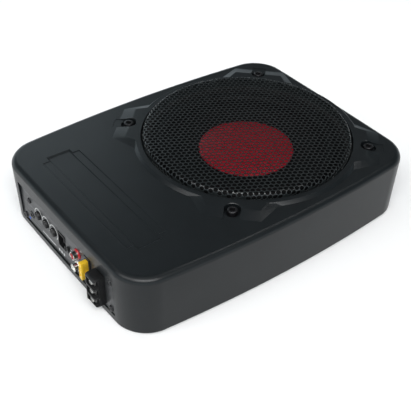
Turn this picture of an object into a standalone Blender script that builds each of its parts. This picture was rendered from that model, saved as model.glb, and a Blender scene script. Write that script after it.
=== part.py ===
"""Slim powered car subwoofer, modelled as an assembly.

Lengths are written in millimetres from the middle of the housing and stored in metres. The box stands
on z = 0 with its long side along X: the amplifier's end panel is at -X, the driver at +X, and it fires
up (+Z). place() moves everything by FRAME_X, so that the whole object's box is centred on the origin.
"""
from math import cos, hypot, pi, radians, sin, sqrt

import bmesh
import bpy
from mathutils import Matrix, Vector

MM = 0.001
GAP = 0.3                      # between pieces that touch
CORNERS = ((-1, -1), (-1, 1), (1, -1), (1, 1))
ABOVE = 80.0                   # higher than everything, for cuts that come down from the top

# Housing: a moulded shell, open underneath
HALF_LENGTH = 165.9            # at the bottom rim, middle of the end
HALF_WIDTH = 125.2             # at the bottom rim, middle of the long side
CORNER_RADIUS = 29.0
BOW_X = 1.3                    # how far the ends curve back by the corners
BOW_Y = 9.1                    # how far the long sides curve back by the corners
RIM_Z = 1.0
TOP_Z = 67.0
FLARE = 1.9                    # the walls lean out by this much on their way up
EDGE_RADIUS = 6.2
WALL = 3.0
ROOF = 3.5
EDGE_Z = TOP_Z - EDGE_RADIUS

# Driver axis, and the deck raised around it
DRIVER_X = 48.6
DECK_Z = 70.0
OPENING_RADIUS = 107.2
DECK_RADIUS = 112.5
DECK_FOOT_RADIUS = 115.5
SCREW_SPACING = 173.0
SCREW_RADIUS = SCREW_SPACING / sqrt(2.0)
PAD_ANGLES = (45.0, 135.0, 225.0, 315.0)
PAD_HALF = 25.3                # half width of a pad at its outer top edge
PAD_OUT = 120.0
PAD_FOOT_HALF = 27.3
PAD_FOOT_OUT = 133.0
PAD_TOP_ANGLE = 15.7           # where a pad's side meets the ring, at the deck
PAD_FOOT_ANGLE = 20.4          # and at the roof
COUNTERBORE_RADIUS = 8.0
COUNTERBORE_Z = 63.5
SCREW_HOLE_RADIUS = 3.3
NOTCH_Z = 66.6
NOTCH_OUT = 138.0
NOTCH_HALF = 7.6
BOSS_Z = 60.0
BOSS_RADIUS = 11.0

# Badge recess in the roof, in two steps
BADGE_X = -122.2
BADGE_Y = 1.5
BADGE_STEPS = ((20.0, 75.0, 0.7), (12.8, 81.5, 1.4))     # half width, half length, depth

# End opening and its panel
END_HALF = 86.0
END_LOW = 8.0
END_HIGH = 50.0
PANEL_X = -164.6               # outer face
PANEL_THICKNESS = 1.6
PANEL_BACK = PANEL_X + PANEL_THICKNESS
BEHIND = PANEL_BACK + GAP      # where the parts behind the panel start
PANEL_SCREWS = ((80.0, 12.5), (69.0, 36.5), (-79.5, 44.0), (-79.5, 12.5))
CORNER_SCREWS = PANEL_SCREWS[:1] + PANEL_SCREWS[2:]      # the ones that reach the housing
PANEL_BOSS_HALF = 4.5
PANEL_BOSS_REACH = 5.5
PANEL_BOSS_END = -156.0
PANEL_SCREW_HOLE = 1.9
PANEL_SCREW_END = -158.2
KNOB_YS = (51.0, 36.0, 21.0)
KNOB_Z = 30.0
KNOB_RADIUS = 4.3
KNOB_DEPTH = 3.0
SWITCH_Y = -6.5
SWITCH_Z = 27.0
JACK_Y = 66.5
JACK_Z = 20.5
LED_Y = 72.5
LED_Z = 12.5
SOCKET_Y = 5.6
SOCKET_Z = 30.0
SOCKET_HALF_Y = 6.5
SOCKET_HALF_Z = 8.5
RCA_Y = -23.5
RCA_ZS = (35.5, 21.0)
RCA_DEPTH = 6.0
RCA_FLANGE = 5.3
RCA_BARREL = 4.2
RCA_BORE = 1.9
FUSE_Y = -42.5
FUSE_Z = 33.0
FUSE_DEPTH = 8.5
HOLDER_HALF_Y = 4.6
HOLDER_HALF_Z = 13.0

# Terminal block: wells open to the front and to -Y
TERMINAL_Y = -64.0
TERMINAL_ZS = (38.0, 27.5, 17.0)
TERMINAL_FACE = PANEL_X - GAP
TERMINAL_DEPTH = 11.2          # how far the block stands off the panel
TERMINAL_SIDES = (TERMINAL_Y - 7.0, TERMINAL_Y + 7.0)
TERMINAL_LOW = 11.0
TERMINAL_HIGH = 45.0
TERMINAL_BEVEL = 3.0
TERMINAL_HOLE = 2.4
WELL_DEPTH = 5.2
WELL_HALF = 4.2
FRAME_X = (TERMINAL_DEPTH - TERMINAL_FACE - HALF_LENGTH - FLARE) / 2.0

# Base
BASE_Z = 4.0
BASE_THICKNESS = 2.0
BASE_TOP = BASE_Z + BASE_THICKNESS
POST_X = 151.0
POST_Y = 97.0
POST_RADIUS = 5.5
POST_BORE = 1.9
FOOT_X = 122.0
FOOT_Y = 88.0

# Driver, from its rim down
RIM_TOP = 55.7
RIM_BOTTOM = 53.0
RIM_RADIUS = 112.0
RIM_INNER = 88.0
SHELF_TOP = 36.7
SHELF_BOTTOM = 34.0
SHELF_RADIUS = 76.0
SEAT_TOP = 32.9
SEAT_BOTTOM = 30.3
SEAT_RADIUS = 57.0
SEAT_HOLE = 29.5
EAR_BOSS_RADIUS = 7.0
EAR_HOLE_RADIUS = 3.2
CONE_RADIUS = 80.0
CONE_EDGE_Z = 57.5
CONE_THICKNESS = 1.2
NECK_RADIUS = 26.7
NECK_Z = 47.0
CAP_RADIUS = 48.5
CAP_RISE = 6.0
CAP_THICKNESS = 1.0
ROLL_MIDDLE = 86.75            # the surround's half roll
ROLL_RADIUS = 6.25
SPIDER_INNER = 28.0
SPIDER_OUTER = 72.0
SPIDER_Z = 38.7
COIL_INNER = 25.0
COIL_OUTER = 26.4
COIL_LOW = 20.5
COIL_HIGH = 46.4
WASHER_HOLE = 27.4
WASHER_RADIUS = 52.0
WASHER_LOW = 25.3
WASHER_HIGH = 30.0
MAGNET_HOLE = 32.0
MAGNET_RADIUS = 57.0
MAGNET_LOW = 12.3
MAGNET_HIGH = WASHER_LOW - GAP
YOKE_RADIUS = 54.0
YOKE_LOW = 7.0
YOKE_HIGH = MAGNET_LOW - GAP
POLE_RADIUS = 24.2
POLE_TOP = 31.0
GASKET_INNER = 101.5
GASKET_TOP = 61.7

# Grille
GRILLE_RADIUS = 105.2
GRILLE_FLANGE_RADIUS = 110.5
GRILLE_FLANGE_Z = 62.0
GRILLE_THICKNESS = 1.2
GRILLE_BEND = 2.7              # width of the bend between skirt and dome
GRILLE_EDGE_Z = 74.9
GRILLE_RISE = 1.6
HOLE_PITCH = 18.0
HOLE_RADIUS = 5.6

# Amplifier board
BOARD_Z = 12.0
BOARD_THICKNESS = 1.6
BOARD_TOP = BOARD_Z + BOARD_THICKNESS
PART_FOOT = BOARD_TOP + GAP
STANDOFFS = ((-150.0, 60.0), (-150.0, -66.0), (-80.0, 69.0), (-80.0, -69.0))
FIN_XS = (-101.0, -94.6, -88.2, -81.8)
FIN_SLOT = 3.6
TOROID_AT = (-126.0, -44.0)
CAPACITORS_AT = ((-126.0, 14.0), (-126.0, 38.0))


# ---------------------------------------------------------------- shapes

def around(middle, half):
    """The two limits of a span."""
    return middle - half, middle + half


def solid(rings):
    """Skin a stack of equal rings, with a cap on each end."""
    bm = bmesh.new()
    loops = [[bm.verts.new(p) for p in ring] for ring in rings]
    count = len(loops[0])
    for low, high in zip(loops, loops[1:]):
        for i in range(count):
            j = (i + 1) % count
            bm.faces.new((low[i], low[j], high[j], high[i]))
    bm.faces.new(list(reversed(loops[0])))
    bm.faces.new(loops[-1])
    bmesh.ops.recalc_face_normals(bm, faces=bm.faces)
    return bm


def lathe(profile, steps=48, centre=(0.0, 0.0)):
    """Turn a closed (radius, z) outline about a vertical axis; a radius of 0 lies on the axis."""
    bm = bmesh.new()
    turns = [2.0 * pi * k / steps for k in range(steps)]
    rows = []
    for radius, z in profile:
        if radius == 0.0:
            rows.append([bm.verts.new((*centre, z))] * steps)
            continue
        ring = [(centre[0] + radius * cos(a), centre[1] + radius * sin(a), z) for a in turns]
        rows.append([bm.verts.new(p) for p in ring])
    for row, following in zip(rows, rows[1:] + rows[:1]):
        for k in range(steps):
            n = (k + 1) % steps
            corners = list(dict.fromkeys((row[k], row[n], following[n], following[k])))
            if len(corners) > 2:
                bm.faces.new(corners)
    bmesh.ops.recalc_face_normals(bm, faces=bm.faces)
    return bm


def block(x, y, z):
    """A box from its low and high limits along each axis."""
    corners = ((x[0], y[0]), (x[1], y[0]), (x[1], y[1]), (x[0], y[1]))
    return solid([[(cx, cy, height) for cx, cy in corners] for height in z])


def ring_outline(inner, outer, low, high):
    return [(inner, low), (outer, low), (outer, high), (inner, high)]


def rod(x, y, z, radius, steps=24):
    """An upright cylinder about (x, y), from z[0] to z[1]."""
    return lathe(ring_outline(0.0, radius, *z), steps, (x, y))


def along_x(profile, y, z, steps=24):
    """Turn a closed (radius, x) outline about a line that runs along X."""
    bm = lathe(profile, steps)
    quarter = Matrix(((0, 0, 1), (1, 0, 0), (0, 1, 0))).to_4x4()
    bmesh.ops.transform(bm, matrix=Matrix.Translation((0.0, y, z)) @ quarter, verts=bm.verts)
    return bm


def rod_x(x, y, z, radius, steps=24):
    """A cylinder along X about (y, z), from x[0] to x[1]."""
    return along_x(ring_outline(0.0, radius, *x), y, z, steps)


def joined(*parts):
    """Put separate solids into one mesh, for use as a Boolean's second object."""
    bm = bmesh.new()
    for part in parts:
        offset = len(bm.verts)
        part.verts.index_update()
        for vert in part.verts:
            bm.verts.new(vert.co)
        bm.verts.ensure_lookup_table()
        for face in part.faces:
            bm.faces.new([bm.verts[offset + v.index] for v in face.verts])
        part.free()
    return bm


# ---------------------------------------------------------------- objects

def material(name, colour, roughness, metallic=0.0):
    finish = bpy.data.materials.new(name)
    finish.use_nodes = True
    surface = finish.node_tree.nodes["Principled BSDF"]
    surface.inputs["Base Color"].default_value = (*colour, 1.0)
    surface.inputs["Roughness"].default_value = roughness
    surface.inputs["Metallic"].default_value = metallic
    return finish


def place(name, bm, finish=None, smooth=False, origin=(-FRAME_X, 0.0, 0.0)):
    """Make an object whose origin is at the given point, from geometry in millimetres."""
    shift = Vector(origin)
    for vert in bm.verts:
        vert.co = (vert.co - shift) * MM
    mesh = bpy.data.meshes.new(name)
    bm.to_mesh(mesh)
    bm.free()
    if finish:
        mesh.materials.append(finish)
    for face in mesh.polygons:
        face.use_smooth = smooth
    piece = bpy.data.objects.new(name, mesh)
    piece.location = (shift + Vector((FRAME_X, 0.0, 0.0))) * MM
    bpy.context.scene.collection.objects.link(piece)
    return piece


def shape_with(piece, operation, name, bm):
    """Add a Boolean whose second object is a hidden solid."""
    other = place(name, bm)
    other.hide_render = True
    other.display_type = "WIRE"
    step = piece.modifiers.new(name, "BOOLEAN")
    step.operation = operation
    step.solver = "EXACT"
    step.object = other


def cut(piece, name, *parts):
    shape_with(piece, "DIFFERENCE", "cut_" + name, joined(*parts))


def add(piece, name, *parts):
    shape_with(piece, "UNION", "add_" + name, joined(*parts))


# ---------------------------------------------------------------- outlines

def box_outline(z, inset, steps=6):
    """The housing's bowed, round-cornered outline at height z, moved in by an inset."""
    a = HALF_LENGTH - inset
    b = HALF_WIDTH - inset
    r = max(CORNER_RADIUS - 0.6 * inset, 4.0)
    centres = ((a - r, b - r), (r - a, b - r), (r - a, r - b), (a - r, r - b))
    points = []
    for quarter, (cx, cy) in enumerate(centres):
        for k in range(steps + 1):
            turn = (quarter + k / steps) * pi / 2.0
            points.append(Vector((cx + r * cos(turn), cy + r * sin(turn))))
        start = points[-1]
        end = Vector(centres[(quarter + 1) % 4]) + r * Vector((cos(turn), sin(turn)))
        points += [start.lerp(end, k / steps) for k in range(1, steps)]
    ring = []
    for x, y in points:
        bow_x = BOW_X * (y / b) ** 2 * (1 if x > 0 else -1)
        bow_y = BOW_Y * (x / a) ** 2 * (1 if y > 0 else -1)
        ring.append((x - bow_x, y - bow_y, z))
    return ring


def at_angle(u, v, degrees):
    """Driver-centred plan coordinates: u outward at the given angle, v across."""
    turn = radians(degrees)
    return DRIVER_X + u * cos(turn) - v * sin(turn), u * sin(turn) + v * cos(turn)


def prism_at(edges, degrees, z):
    """An upright prism from (outward, across) corners, turned about the driver's axis."""
    return solid([[(*at_angle(u, v, degrees), height) for u, v in edges] for height in z])


def deck_outline(half, out, radius, angle, z, steps=8):
    """The raised ring with its four corner pads, at one height."""
    points = []
    for corner in PAD_ANGLES:
        points.append((*at_angle(out, -half, corner), z))
        points.append((*at_angle(out, half, corner), z))
        for k in range(steps + 1):
            turn = corner + angle + (90.0 - 2.0 * angle) * k / steps
            points.append((*at_angle(radius, 0.0, turn), z))
    return points


def screw_points():
    half = SCREW_SPACING / 2.0
    return [(DRIVER_X + sx * half, sy * half) for sx, sy in ((-1, 1), (1, 1), (1, -1), (-1, -1))]


# ---------------------------------------------------------------- housing and base

def shell_rings():
    """Outlines from the bottom rim up the wall and over the rounded edge."""
    chamfer = 0.6
    rings = [box_outline(RIM_Z, chamfer), box_outline(RIM_Z + 1.5, 0.0), box_outline(EDGE_Z, -FLARE)]
    for k in range(1, 5):
        turn = k * pi / 8.0
        inset = EDGE_RADIUS * (1.0 - cos(turn)) - FLARE
        rings.append(box_outline(EDGE_Z + EDGE_RADIUS * sin(turn), inset))
    return rings


def housing_bosses():
    """Bosses for the grille screws, posts for the base screws, blocks for the panel screws."""
    bosses = [rod(x, y, (BOSS_Z, TOP_Z - 1.5), BOSS_RADIUS) for x, y in screw_points()]
    post = (BASE_TOP + GAP, TOP_Z - 2.0)
    bosses += [rod(sx * POST_X, sy * POST_Y, post, POST_RADIUS, 16) for sx, sy in CORNERS]
    into_wall = END_HALF + 5.0
    for y, z in CORNER_SCREWS:
        side = (y - PANEL_BOSS_REACH, into_wall) if y > 0 else (-into_wall, y + PANEL_BOSS_REACH)
        bosses.append(block((BEHIND, PANEL_BOSS_END), side, around(z, PANEL_BOSS_HALF)))
    return bosses


def build_housing(black):
    housing = place("housing", solid(shell_rings()), black)

    deck_foot = 64.5
    foot = (PAD_FOOT_HALF, PAD_FOOT_OUT, DECK_FOOT_RADIUS, PAD_FOOT_ANGLE)
    deck = [deck_outline(*foot, z) for z in (deck_foot, TOP_Z)]
    deck.append(deck_outline(PAD_HALF, PAD_OUT, DECK_RADIUS, PAD_TOP_ANGLE, DECK_Z))
    add(housing, "deck", solid(deck))

    hollow = [box_outline(RIM_Z - 5.0, WALL), box_outline(TOP_Z - ROOF, WALL - FLARE)]
    cut(housing, "hollow", solid(hollow))
    add(housing, "bosses", *housing_bosses())

    opening_low = 58.0
    cut(housing, "opening", rod(DRIVER_X, 0.0, (opening_low, ABOVE), OPENING_RADIUS, 72))
    through_end = (-175.0, -161.5)
    cut(housing, "end", block(through_end, (-END_HALF, END_HALF), (END_LOW, END_HIGH)))

    notch = [(SCREW_RADIUS, -NOTCH_HALF), (NOTCH_OUT, -NOTCH_HALF), (NOTCH_OUT, NOTCH_HALF),
             (SCREW_RADIUS, NOTCH_HALF)]
    cut(housing, "notches", *[prism_at(notch, corner, (NOTCH_Z, ABOVE)) for corner in PAD_ANGLES])

    under_boss = 50.0
    stack = [(0.0, under_boss), (SCREW_HOLE_RADIUS, under_boss), (SCREW_HOLE_RADIUS, COUNTERBORE_Z),
             (COUNTERBORE_RADIUS, COUNTERBORE_Z), (COUNTERBORE_RADIUS, ABOVE), (0.0, ABOVE)]
    cut(housing, "screws", *[lathe(stack, 20, at) for at in screw_points()])

    bore_top = 20.0
    holes = [rod(sx * POST_X, sy * POST_Y, (0.0, bore_top), POST_BORE, 12) for sx, sy in CORNERS]
    bore = (-170.0, -157.5)
    holes += [rod_x(bore, y, z, 1.6, 12) for y, z in CORNER_SCREWS]
    cut(housing, "small_holes", *holes)

    for step, (half_width, half_length, depth) in enumerate(BADGE_STEPS, 1):
        recess = block(around(BADGE_X, half_width), around(BADGE_Y, half_length), (TOP_Z - depth, ABOVE))
        cut(housing, f"badge_{step}", recess)


def build_base(steel, rubber, zinc):
    base = place("base_plate", solid([box_outline(z, WALL + 0.5) for z in (BASE_Z, BASE_TOP)]), steel)
    under = BASE_Z - GAP
    head_low = 2.0
    head_radius = 3.8
    shank = 1.5
    tip = 17.0
    screw = [(0.0, head_low), (head_radius - 0.4, head_low), (head_radius, under), (shank, under),
             (shank, tip), (0.0, tip)]
    foot = [(0.0, 0.0), (8.4, 0.0), (9.0, 0.6), (9.6, under), (0.0, under)]
    holes = []
    for number, (sx, sy) in enumerate(CORNERS, 1):
        at = (sx * POST_X, sy * POST_Y)
        holes.append(rod(*at, (0.0, BASE_TOP + 3.0), 2.2, 16))
        place(f"base_screw_{number}", lathe(screw, 16, at), zinc, smooth=True)
        at = (sx * FOOT_X, sy * FOOT_Y)
        place(f"foot_{number}", lathe(foot, 24, at), rubber, smooth=True)
    cut(base, "base_holes", *holes)
    add(base, "standoffs", *[rod(x, y, (BASE_TOP - 0.5, BOARD_Z - GAP), 3.0, 12) for x, y in STANDOFFS])


def build_cap_screws(black_steel):
    """Socket-head screws that hold the grille and the driver down at the four pads."""
    under = COUNTERBORE_Z + GAP
    top = DECK_Z - 0.5
    head = 5.0
    shank = 2.85
    tip = 54.5
    socket = 2.9
    outline = [(0.0, tip), (shank, tip), (shank, under), (head, under), (head, top - 0.4), (head - 0.4, top),
               (0.0, top)]
    for number, at in enumerate(screw_points(), 1):
        screw = place(f"cap_screw_{number}", lathe(outline, 24, at), black_steel, smooth=True)
        cut(screw, f"hex_{number}", rod(*at, (top - 3.5, ABOVE), socket, 6))


# ---------------------------------------------------------------- grille and driver

def grille_outline():
    """Half section: a clamped flange, a skirt, and a shallow dome of even thickness."""
    dome = []
    for k in range(0, 5):
        radius = (GRILLE_RADIUS - GRILLE_BEND) * (1.0 - k / 4.0)
        dome.append((radius, GRILLE_EDGE_Z + GRILLE_RISE * (1.0 - (radius / GRILLE_RADIUS) ** 2)))
    skirt_inner = GRILLE_RADIUS - GRILLE_THICKNESS
    flange_top = GRILLE_FLANGE_Z + GRILLE_THICKNESS
    outer = [(GRILLE_FLANGE_RADIUS, GRILLE_FLANGE_Z), (GRILLE_FLANGE_RADIUS, flange_top),
             (GRILLE_RADIUS, flange_top), (GRILLE_RADIUS, GRILLE_EDGE_Z - 3.0),
             (skirt_inner, GRILLE_EDGE_Z - 0.8)]
    under = [(radius, z - GRILLE_THICKNESS) for radius, z in reversed(dome[1:])]
    under.append((dome[0][0] - GRILLE_THICKNESS, dome[0][1] - GRILLE_THICKNESS))
    under += [(skirt_inner, GRILLE_EDGE_Z - 3.4), (skirt_inner, GRILLE_FLANGE_Z)]
    return outer + dome + under


def build_grille(black_steel):
    """The domed grille, perforated on a hexagonal grid."""
    grille = place("grille", lathe(grille_outline(), 36, (DRIVER_X, 0.0)), black_steel)
    row_pitch = HOLE_PITCH * sqrt(0.75)
    limit = GRILLE_RADIUS - 6.0 - HOLE_RADIUS
    below = 64.0
    rows = int(GRILLE_RADIUS / row_pitch) + 1
    holes = []
    for row in range(-rows, rows + 1):
        for column in range(-rows, rows + 1):
            x = (column + (row % 2) / 2.0) * HOLE_PITCH
            y = row * row_pitch
            if hypot(x, y) < limit:
                holes.append(rod(DRIVER_X + x, y, (below, ABOVE), HOLE_RADIUS, 6))
    cut(grille, "grille_holes", *holes)


def build_basket(steel):
    """Pressed frame: rim with four ears, windowed wall, spider shelf and a seat for the magnet."""
    outline = [(RIM_RADIUS, RIM_BOTTOM), (RIM_RADIUS, RIM_TOP), (RIM_INNER, RIM_TOP),
               (SHELF_RADIUS, SHELF_TOP), (SEAT_RADIUS, SHELF_TOP), (SEAT_RADIUS, SEAT_TOP),
               (SEAT_HOLE, SEAT_TOP), (SEAT_HOLE, SEAT_BOTTOM), (SEAT_RADIUS + 2.5, SEAT_BOTTOM),
               (SEAT_RADIUS + 2.5, SHELF_BOTTOM), (SHELF_RADIUS + 2.0, SHELF_BOTTOM),
               (RIM_INNER + 2.0, RIM_BOTTOM)]
    basket = place("basket", lathe(outline, 40, (DRIVER_X, 0.0)), steel)
    inside_rim = 106.0
    tip = SCREW_RADIUS + 7.0
    ear = [(inside_rim, -13.0), (tip, -8.0), (tip, 8.0), (inside_rim, 13.0)]
    ear_z = (RIM_BOTTOM + 0.2, RIM_TOP - 0.2)
    add(basket, "ears", *[prism_at(ear, corner, ear_z) for corner in PAD_ANGLES])
    boss_z = (RIM_BOTTOM + 0.6, BOSS_Z - GAP)
    add(basket, "ear_bosses", *[rod(x, y, boss_z, EAR_BOSS_RADIUS, 20) for x, y in screw_points()])
    hole_z = (45.0, 65.0)
    cut(basket, "ear_holes", *[rod(x, y, hole_z, EAR_HOLE_RADIUS, 16) for x, y in screw_points()])
    window = [(65.0, -14.0), (100.0, -21.0), (100.0, 21.0), (65.0, 14.0)]
    window_z = (39.5, 50.0)
    cut(basket, "windows", *[prism_at(window, 22.5 + 45.0 * n, window_z) for n in range(8)])


def build_suspension(rubber, cloth):
    arc = [(cos(pi * k / 6.0), sin(pi * k / 6.0)) for k in range(0, 7)]
    roll = [(ROLL_MIDDLE + ROLL_RADIUS * c, 57.5 + 6.0 * s) for c, s in arc[:-1]]
    under = [(ROLL_MIDDLE + (ROLL_RADIUS - 1.0) * c, 56.3 + 5.8 * s) for c, s in arc[:-1]]
    rim = [(100.0, 56.1), (100.0, 57.4)]
    lip = [(80.7, 58.4), (76.5, 58.4), (76.5, 57.4), (81.5, 57.4)]
    outline = rim + roll + lip + under[::-1]
    place("surround", lathe(outline, 36, (DRIVER_X, 0.0)), rubber, smooth=True)

    half = 0.5
    waves = [(SPIDER_INNER + 4.0 * k, SPIDER_Z + 0.8 * (-1) ** k) for k in range(0, 10)]
    edge_z = SHELF_TOP + 0.4
    outline = [(SPIDER_OUTER, edge_z), (SPIDER_OUTER, edge_z + 2.0 * half)]
    outline += [(r, z + half) for r, z in reversed(waves)]
    outline += [(r, z - half) for r, z in waves]
    place("spider", lathe(outline, 28, (DRIVER_X, 0.0)), cloth, smooth=True)


def build_moving_parts(paper, red, copper):
    """Cone, dust cap and coil, which travel together along the driver's axis."""
    origin = (DRIVER_X, 0.0, NECK_Z)
    edge_z = CONE_EDGE_Z - 0.6
    outline = [(NECK_RADIUS, NECK_Z - CONE_THICKNESS), (NECK_RADIUS, NECK_Z), (CONE_RADIUS, edge_z),
               (CONE_RADIUS, edge_z - CONE_THICKNESS)]
    place("cone", lathe(outline, 48, (DRIVER_X, 0.0)), paper, True, origin)

    slope = (CONE_EDGE_Z - NECK_Z) / (CONE_RADIUS - NECK_RADIUS)
    rim_z = NECK_Z + slope * (CAP_RADIUS - NECK_RADIUS) + GAP
    sphere = (CAP_RADIUS ** 2 + CAP_RISE ** 2) / (2.0 * CAP_RISE)
    dome = []
    for k in range(0, 6):
        radius = CAP_RADIUS * (1.0 - k / 5.0)
        rise = sqrt(sphere ** 2 - radius ** 2) - (sphere - CAP_RISE)
        dome.append((radius, rim_z + CAP_THICKNESS + rise))
    below = [(radius, z - CAP_THICKNESS) for radius, z in reversed(dome)]
    place("dust_cap", lathe(dome + below, 36, (DRIVER_X, 0.0)), red, True, origin)

    outline = ring_outline(COIL_INNER, COIL_OUTER, COIL_LOW, COIL_HIGH)
    place("voice_coil", lathe(outline, 36, (DRIVER_X, 0.0)), copper, True, origin)


def build_magnet(steel, ferrite, foam):
    washer = ring_outline(WASHER_HOLE, WASHER_RADIUS, WASHER_LOW, WASHER_HIGH)
    magnet = ring_outline(MAGNET_HOLE, MAGNET_RADIUS, MAGNET_LOW, MAGNET_HIGH)
    yoke = [(0.0, YOKE_LOW), (YOKE_RADIUS, YOKE_LOW), (YOKE_RADIUS, YOKE_HIGH), (POLE_RADIUS, YOKE_HIGH),
            (POLE_RADIUS, POLE_TOP), (0.0, POLE_TOP)]
    gasket = ring_outline(GASKET_INNER, GRILLE_FLANGE_RADIUS, RIM_TOP + GAP, GASKET_TOP)
    for name, outline, finish in (("top_plate", washer, steel), ("magnet", magnet, ferrite),
                                  ("yoke", yoke, steel), ("driver_gasket", gasket, foam)):
        place(name, lathe(outline, 36, (DRIVER_X, 0.0)), finish, smooth=True)


# ---------------------------------------------------------------- end panel

def cross_prism(y, z, span):
    """A plus-shaped prism along X, for a cross recess."""
    arm = 1.6
    half = 0.35
    quarter = [(half, half), (half, arm), (-half, arm)]
    points = []
    for _ in range(4):
        points += quarter
        quarter = [(-dz, dy) for dy, dz in quarter]
    points = list(dict.fromkeys(points))
    return solid([[(x, y + dy, z + dz) for dy, dz in points] for x in span])


def build_panel(plate, zinc):
    inside = ((GAP - END_HALF, END_HALF - GAP), (END_LOW + GAP, END_HIGH - GAP))
    panel = place("end_panel", block((PANEL_X, PANEL_BACK), *inside), plate)
    span = (PANEL_X - 5.0, PANEL_BACK + 5.0)
    room = 0.5
    holes = [rod_x(span, y, z, PANEL_SCREW_HOLE, 12) for y, z in PANEL_SCREWS]
    holes += [rod_x(span, y, KNOB_Z, KNOB_RADIUS + 0.6) for y in KNOB_YS]
    holes.append(rod_x(span, JACK_Y, JACK_Z, 4.3))
    holes.append(rod_x(span, LED_Y, LED_Z, 1.8, 12))
    holes += [rod_x(span, RCA_Y, z, RCA_FLANGE + room) for z in RCA_ZS]
    holes.append(block(span, around(SOCKET_Y, SOCKET_HALF_Y + GAP), around(SOCKET_Z, SOCKET_HALF_Z + GAP)))
    holes.append(block(span, around(SWITCH_Y, 1.9), around(SWITCH_Z, 4.6)))
    holes.append(block(span, around(FUSE_Y, HOLDER_HALF_Y + GAP), around(FUSE_Z, HOLDER_HALF_Z + GAP)))
    holes += [rod_x(span, TERMINAL_Y, z, TERMINAL_HOLE, 12) for z in TERMINAL_ZS]
    cut(panel, "panel_holes", *holes)

    face = PANEL_X - GAP
    head = 3.1
    shank = 1.35
    outline = [(0.0, face - 1.4), (2.2, face - 1.4), (head, face - 0.6), (head, face), (shank, face),
               (shank, PANEL_SCREW_END), (0.0, PANEL_SCREW_END)]
    for number, (y, z) in enumerate(PANEL_SCREWS, 1):
        screw = place(f"panel_screw_{number}", along_x(outline, y, z, 16), zinc, smooth=True)
        cut(screw, f"cross_{number}", cross_prism(y, z, (face - 5.0, face - 0.7)))


def build_controls(black, zinc):
    """Three trimmers with slotted knobs, and the phase slide switch."""
    front = PANEL_X - KNOB_DEPTH
    shaft = 3.0
    shaft_end = BEHIND + 4.6
    outline = [(0.0, front), (KNOB_RADIUS - 0.6, front), (KNOB_RADIUS, front + 0.7),
               (KNOB_RADIUS, BEHIND - 0.6), (shaft, BEHIND - 0.4), (shaft, shaft_end), (0.0, shaft_end)]
    for number, y in enumerate(KNOB_YS, 1):
        case = block((BEHIND, BEHIND + 7.0), around(y, 5.5), (PART_FOOT, KNOB_Z + 6.5))
        case = place(f"pot_{number}", case, zinc)
        cut(case, f"shaft_{number}", rod_x(around(BEHIND, 5.0), y, KNOB_Z, shaft + GAP, 20))
        knob = place(f"knob_{number}", along_x(outline, y, KNOB_Z), black, True, (front, y, KNOB_Z))
        slot = block((front - 2.0, front + 1.0), around(y, 0.5), (KNOB_Z - 0.2, KNOB_Z + 7.0))
        cut(knob, f"slot_{number}", slot)

    case = block((BEHIND, BEHIND + 6.0), around(SWITCH_Y, 3.2), (PART_FOOT, SWITCH_Z + 6.0))
    case = place("phase_switch_body", case, zinc)
    slot = block((BEHIND - 2.0, BEHIND + 3.6), around(SWITCH_Y, 2.0), around(SWITCH_Z, 4.7))
    cut(case, "switch_slot", slot)
    lever = block((PANEL_X - 1.8, BEHIND + 3.2), around(SWITCH_Y, 1.5), (SWITCH_Z + 0.2, SWITCH_Z + 4.2))
    place("phase_switch", lever, black, False, (PANEL_X, SWITCH_Y, SWITCH_Z))


def build_sockets(black, red, white, lamp):
    """Remote jack, lamp, high-level socket with its pins, and the two phono jacks."""
    before = PANEL_X - 5.0
    case = block((BEHIND, BEHIND + 12.0), around(JACK_Y, 5.0), (PART_FOOT, JACK_Z + 5.5))
    jack = place("remote_jack", case, black)
    add(jack, "jack_collar", rod_x((PANEL_X - 0.6, BEHIND + 1.0), JACK_Y, JACK_Z, 4.0))
    cut(jack, "jack_bore", rod_x((before, BEHIND + 10.0), JACK_Y, JACK_Z, 2.2, 16))

    bulb = 1.5
    outline = [(0.0, PANEL_X - 0.6), (1.0, PANEL_X - 0.4), (bulb, PANEL_X), (bulb, BEHIND + 2.0),
               (0.0, BEHIND + 2.0)]
    place("power_led", along_x(outline, LED_Y, LED_Z, 12), lamp, True)

    wall = 1.3
    mouth = (around(SOCKET_Y, SOCKET_HALF_Y), around(SOCKET_Z, SOCKET_HALF_Z))
    socket = place("high_level_socket", block((PANEL_X - 0.8, BEHIND + 12.0), *mouth), black)
    inside = (around(SOCKET_Y, SOCKET_HALF_Y - wall), around(SOCKET_Z, SOCKET_HALF_Z - wall))
    cut(socket, "socket_hollow", block((before, BEHIND + 9.0), *inside))
    pin_x = (PANEL_X + 3.5, BEHIND + 10.0)
    pins = []
    for dy in (-2.6, 2.6):
        for dz in (-4.8, -1.6, 1.6, 4.8):
            pins.append(block(pin_x, around(SOCKET_Y + dy, 0.5), around(SOCKET_Z + dz, 0.5)))
    add(socket, "socket_pins", *pins)

    seat = RCA_FLANGE + GAP
    case = block((BEHIND, BEHIND + 11.0), around(RCA_Y, 7.0), (PART_FOOT, RCA_ZS[0] + 7.0))
    case = place("rca_block", case, black)
    cut(case, "rca_seats", *[rod_x((BEHIND - 3.0, BEHIND + 7.0), RCA_Y, z, seat) for z in RCA_ZS])
    front = PANEL_X - RCA_DEPTH
    flange = PANEL_X - 1.6
    back = BEHIND + 6.6
    lip = 3.2
    outline = [(RCA_BARREL, front), (RCA_BARREL, flange), (RCA_FLANGE, flange), (RCA_FLANGE, back),
               (RCA_BORE, back), (RCA_BORE, front + 1.2), (lip, front + 0.4), (lip, front)]
    for name, z, colour in (("rca_jack_red", RCA_ZS[0], red), ("rca_jack_white", RCA_ZS[1], white)):
        place(name, along_x(outline, RCA_Y, z), colour, smooth=True)


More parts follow.
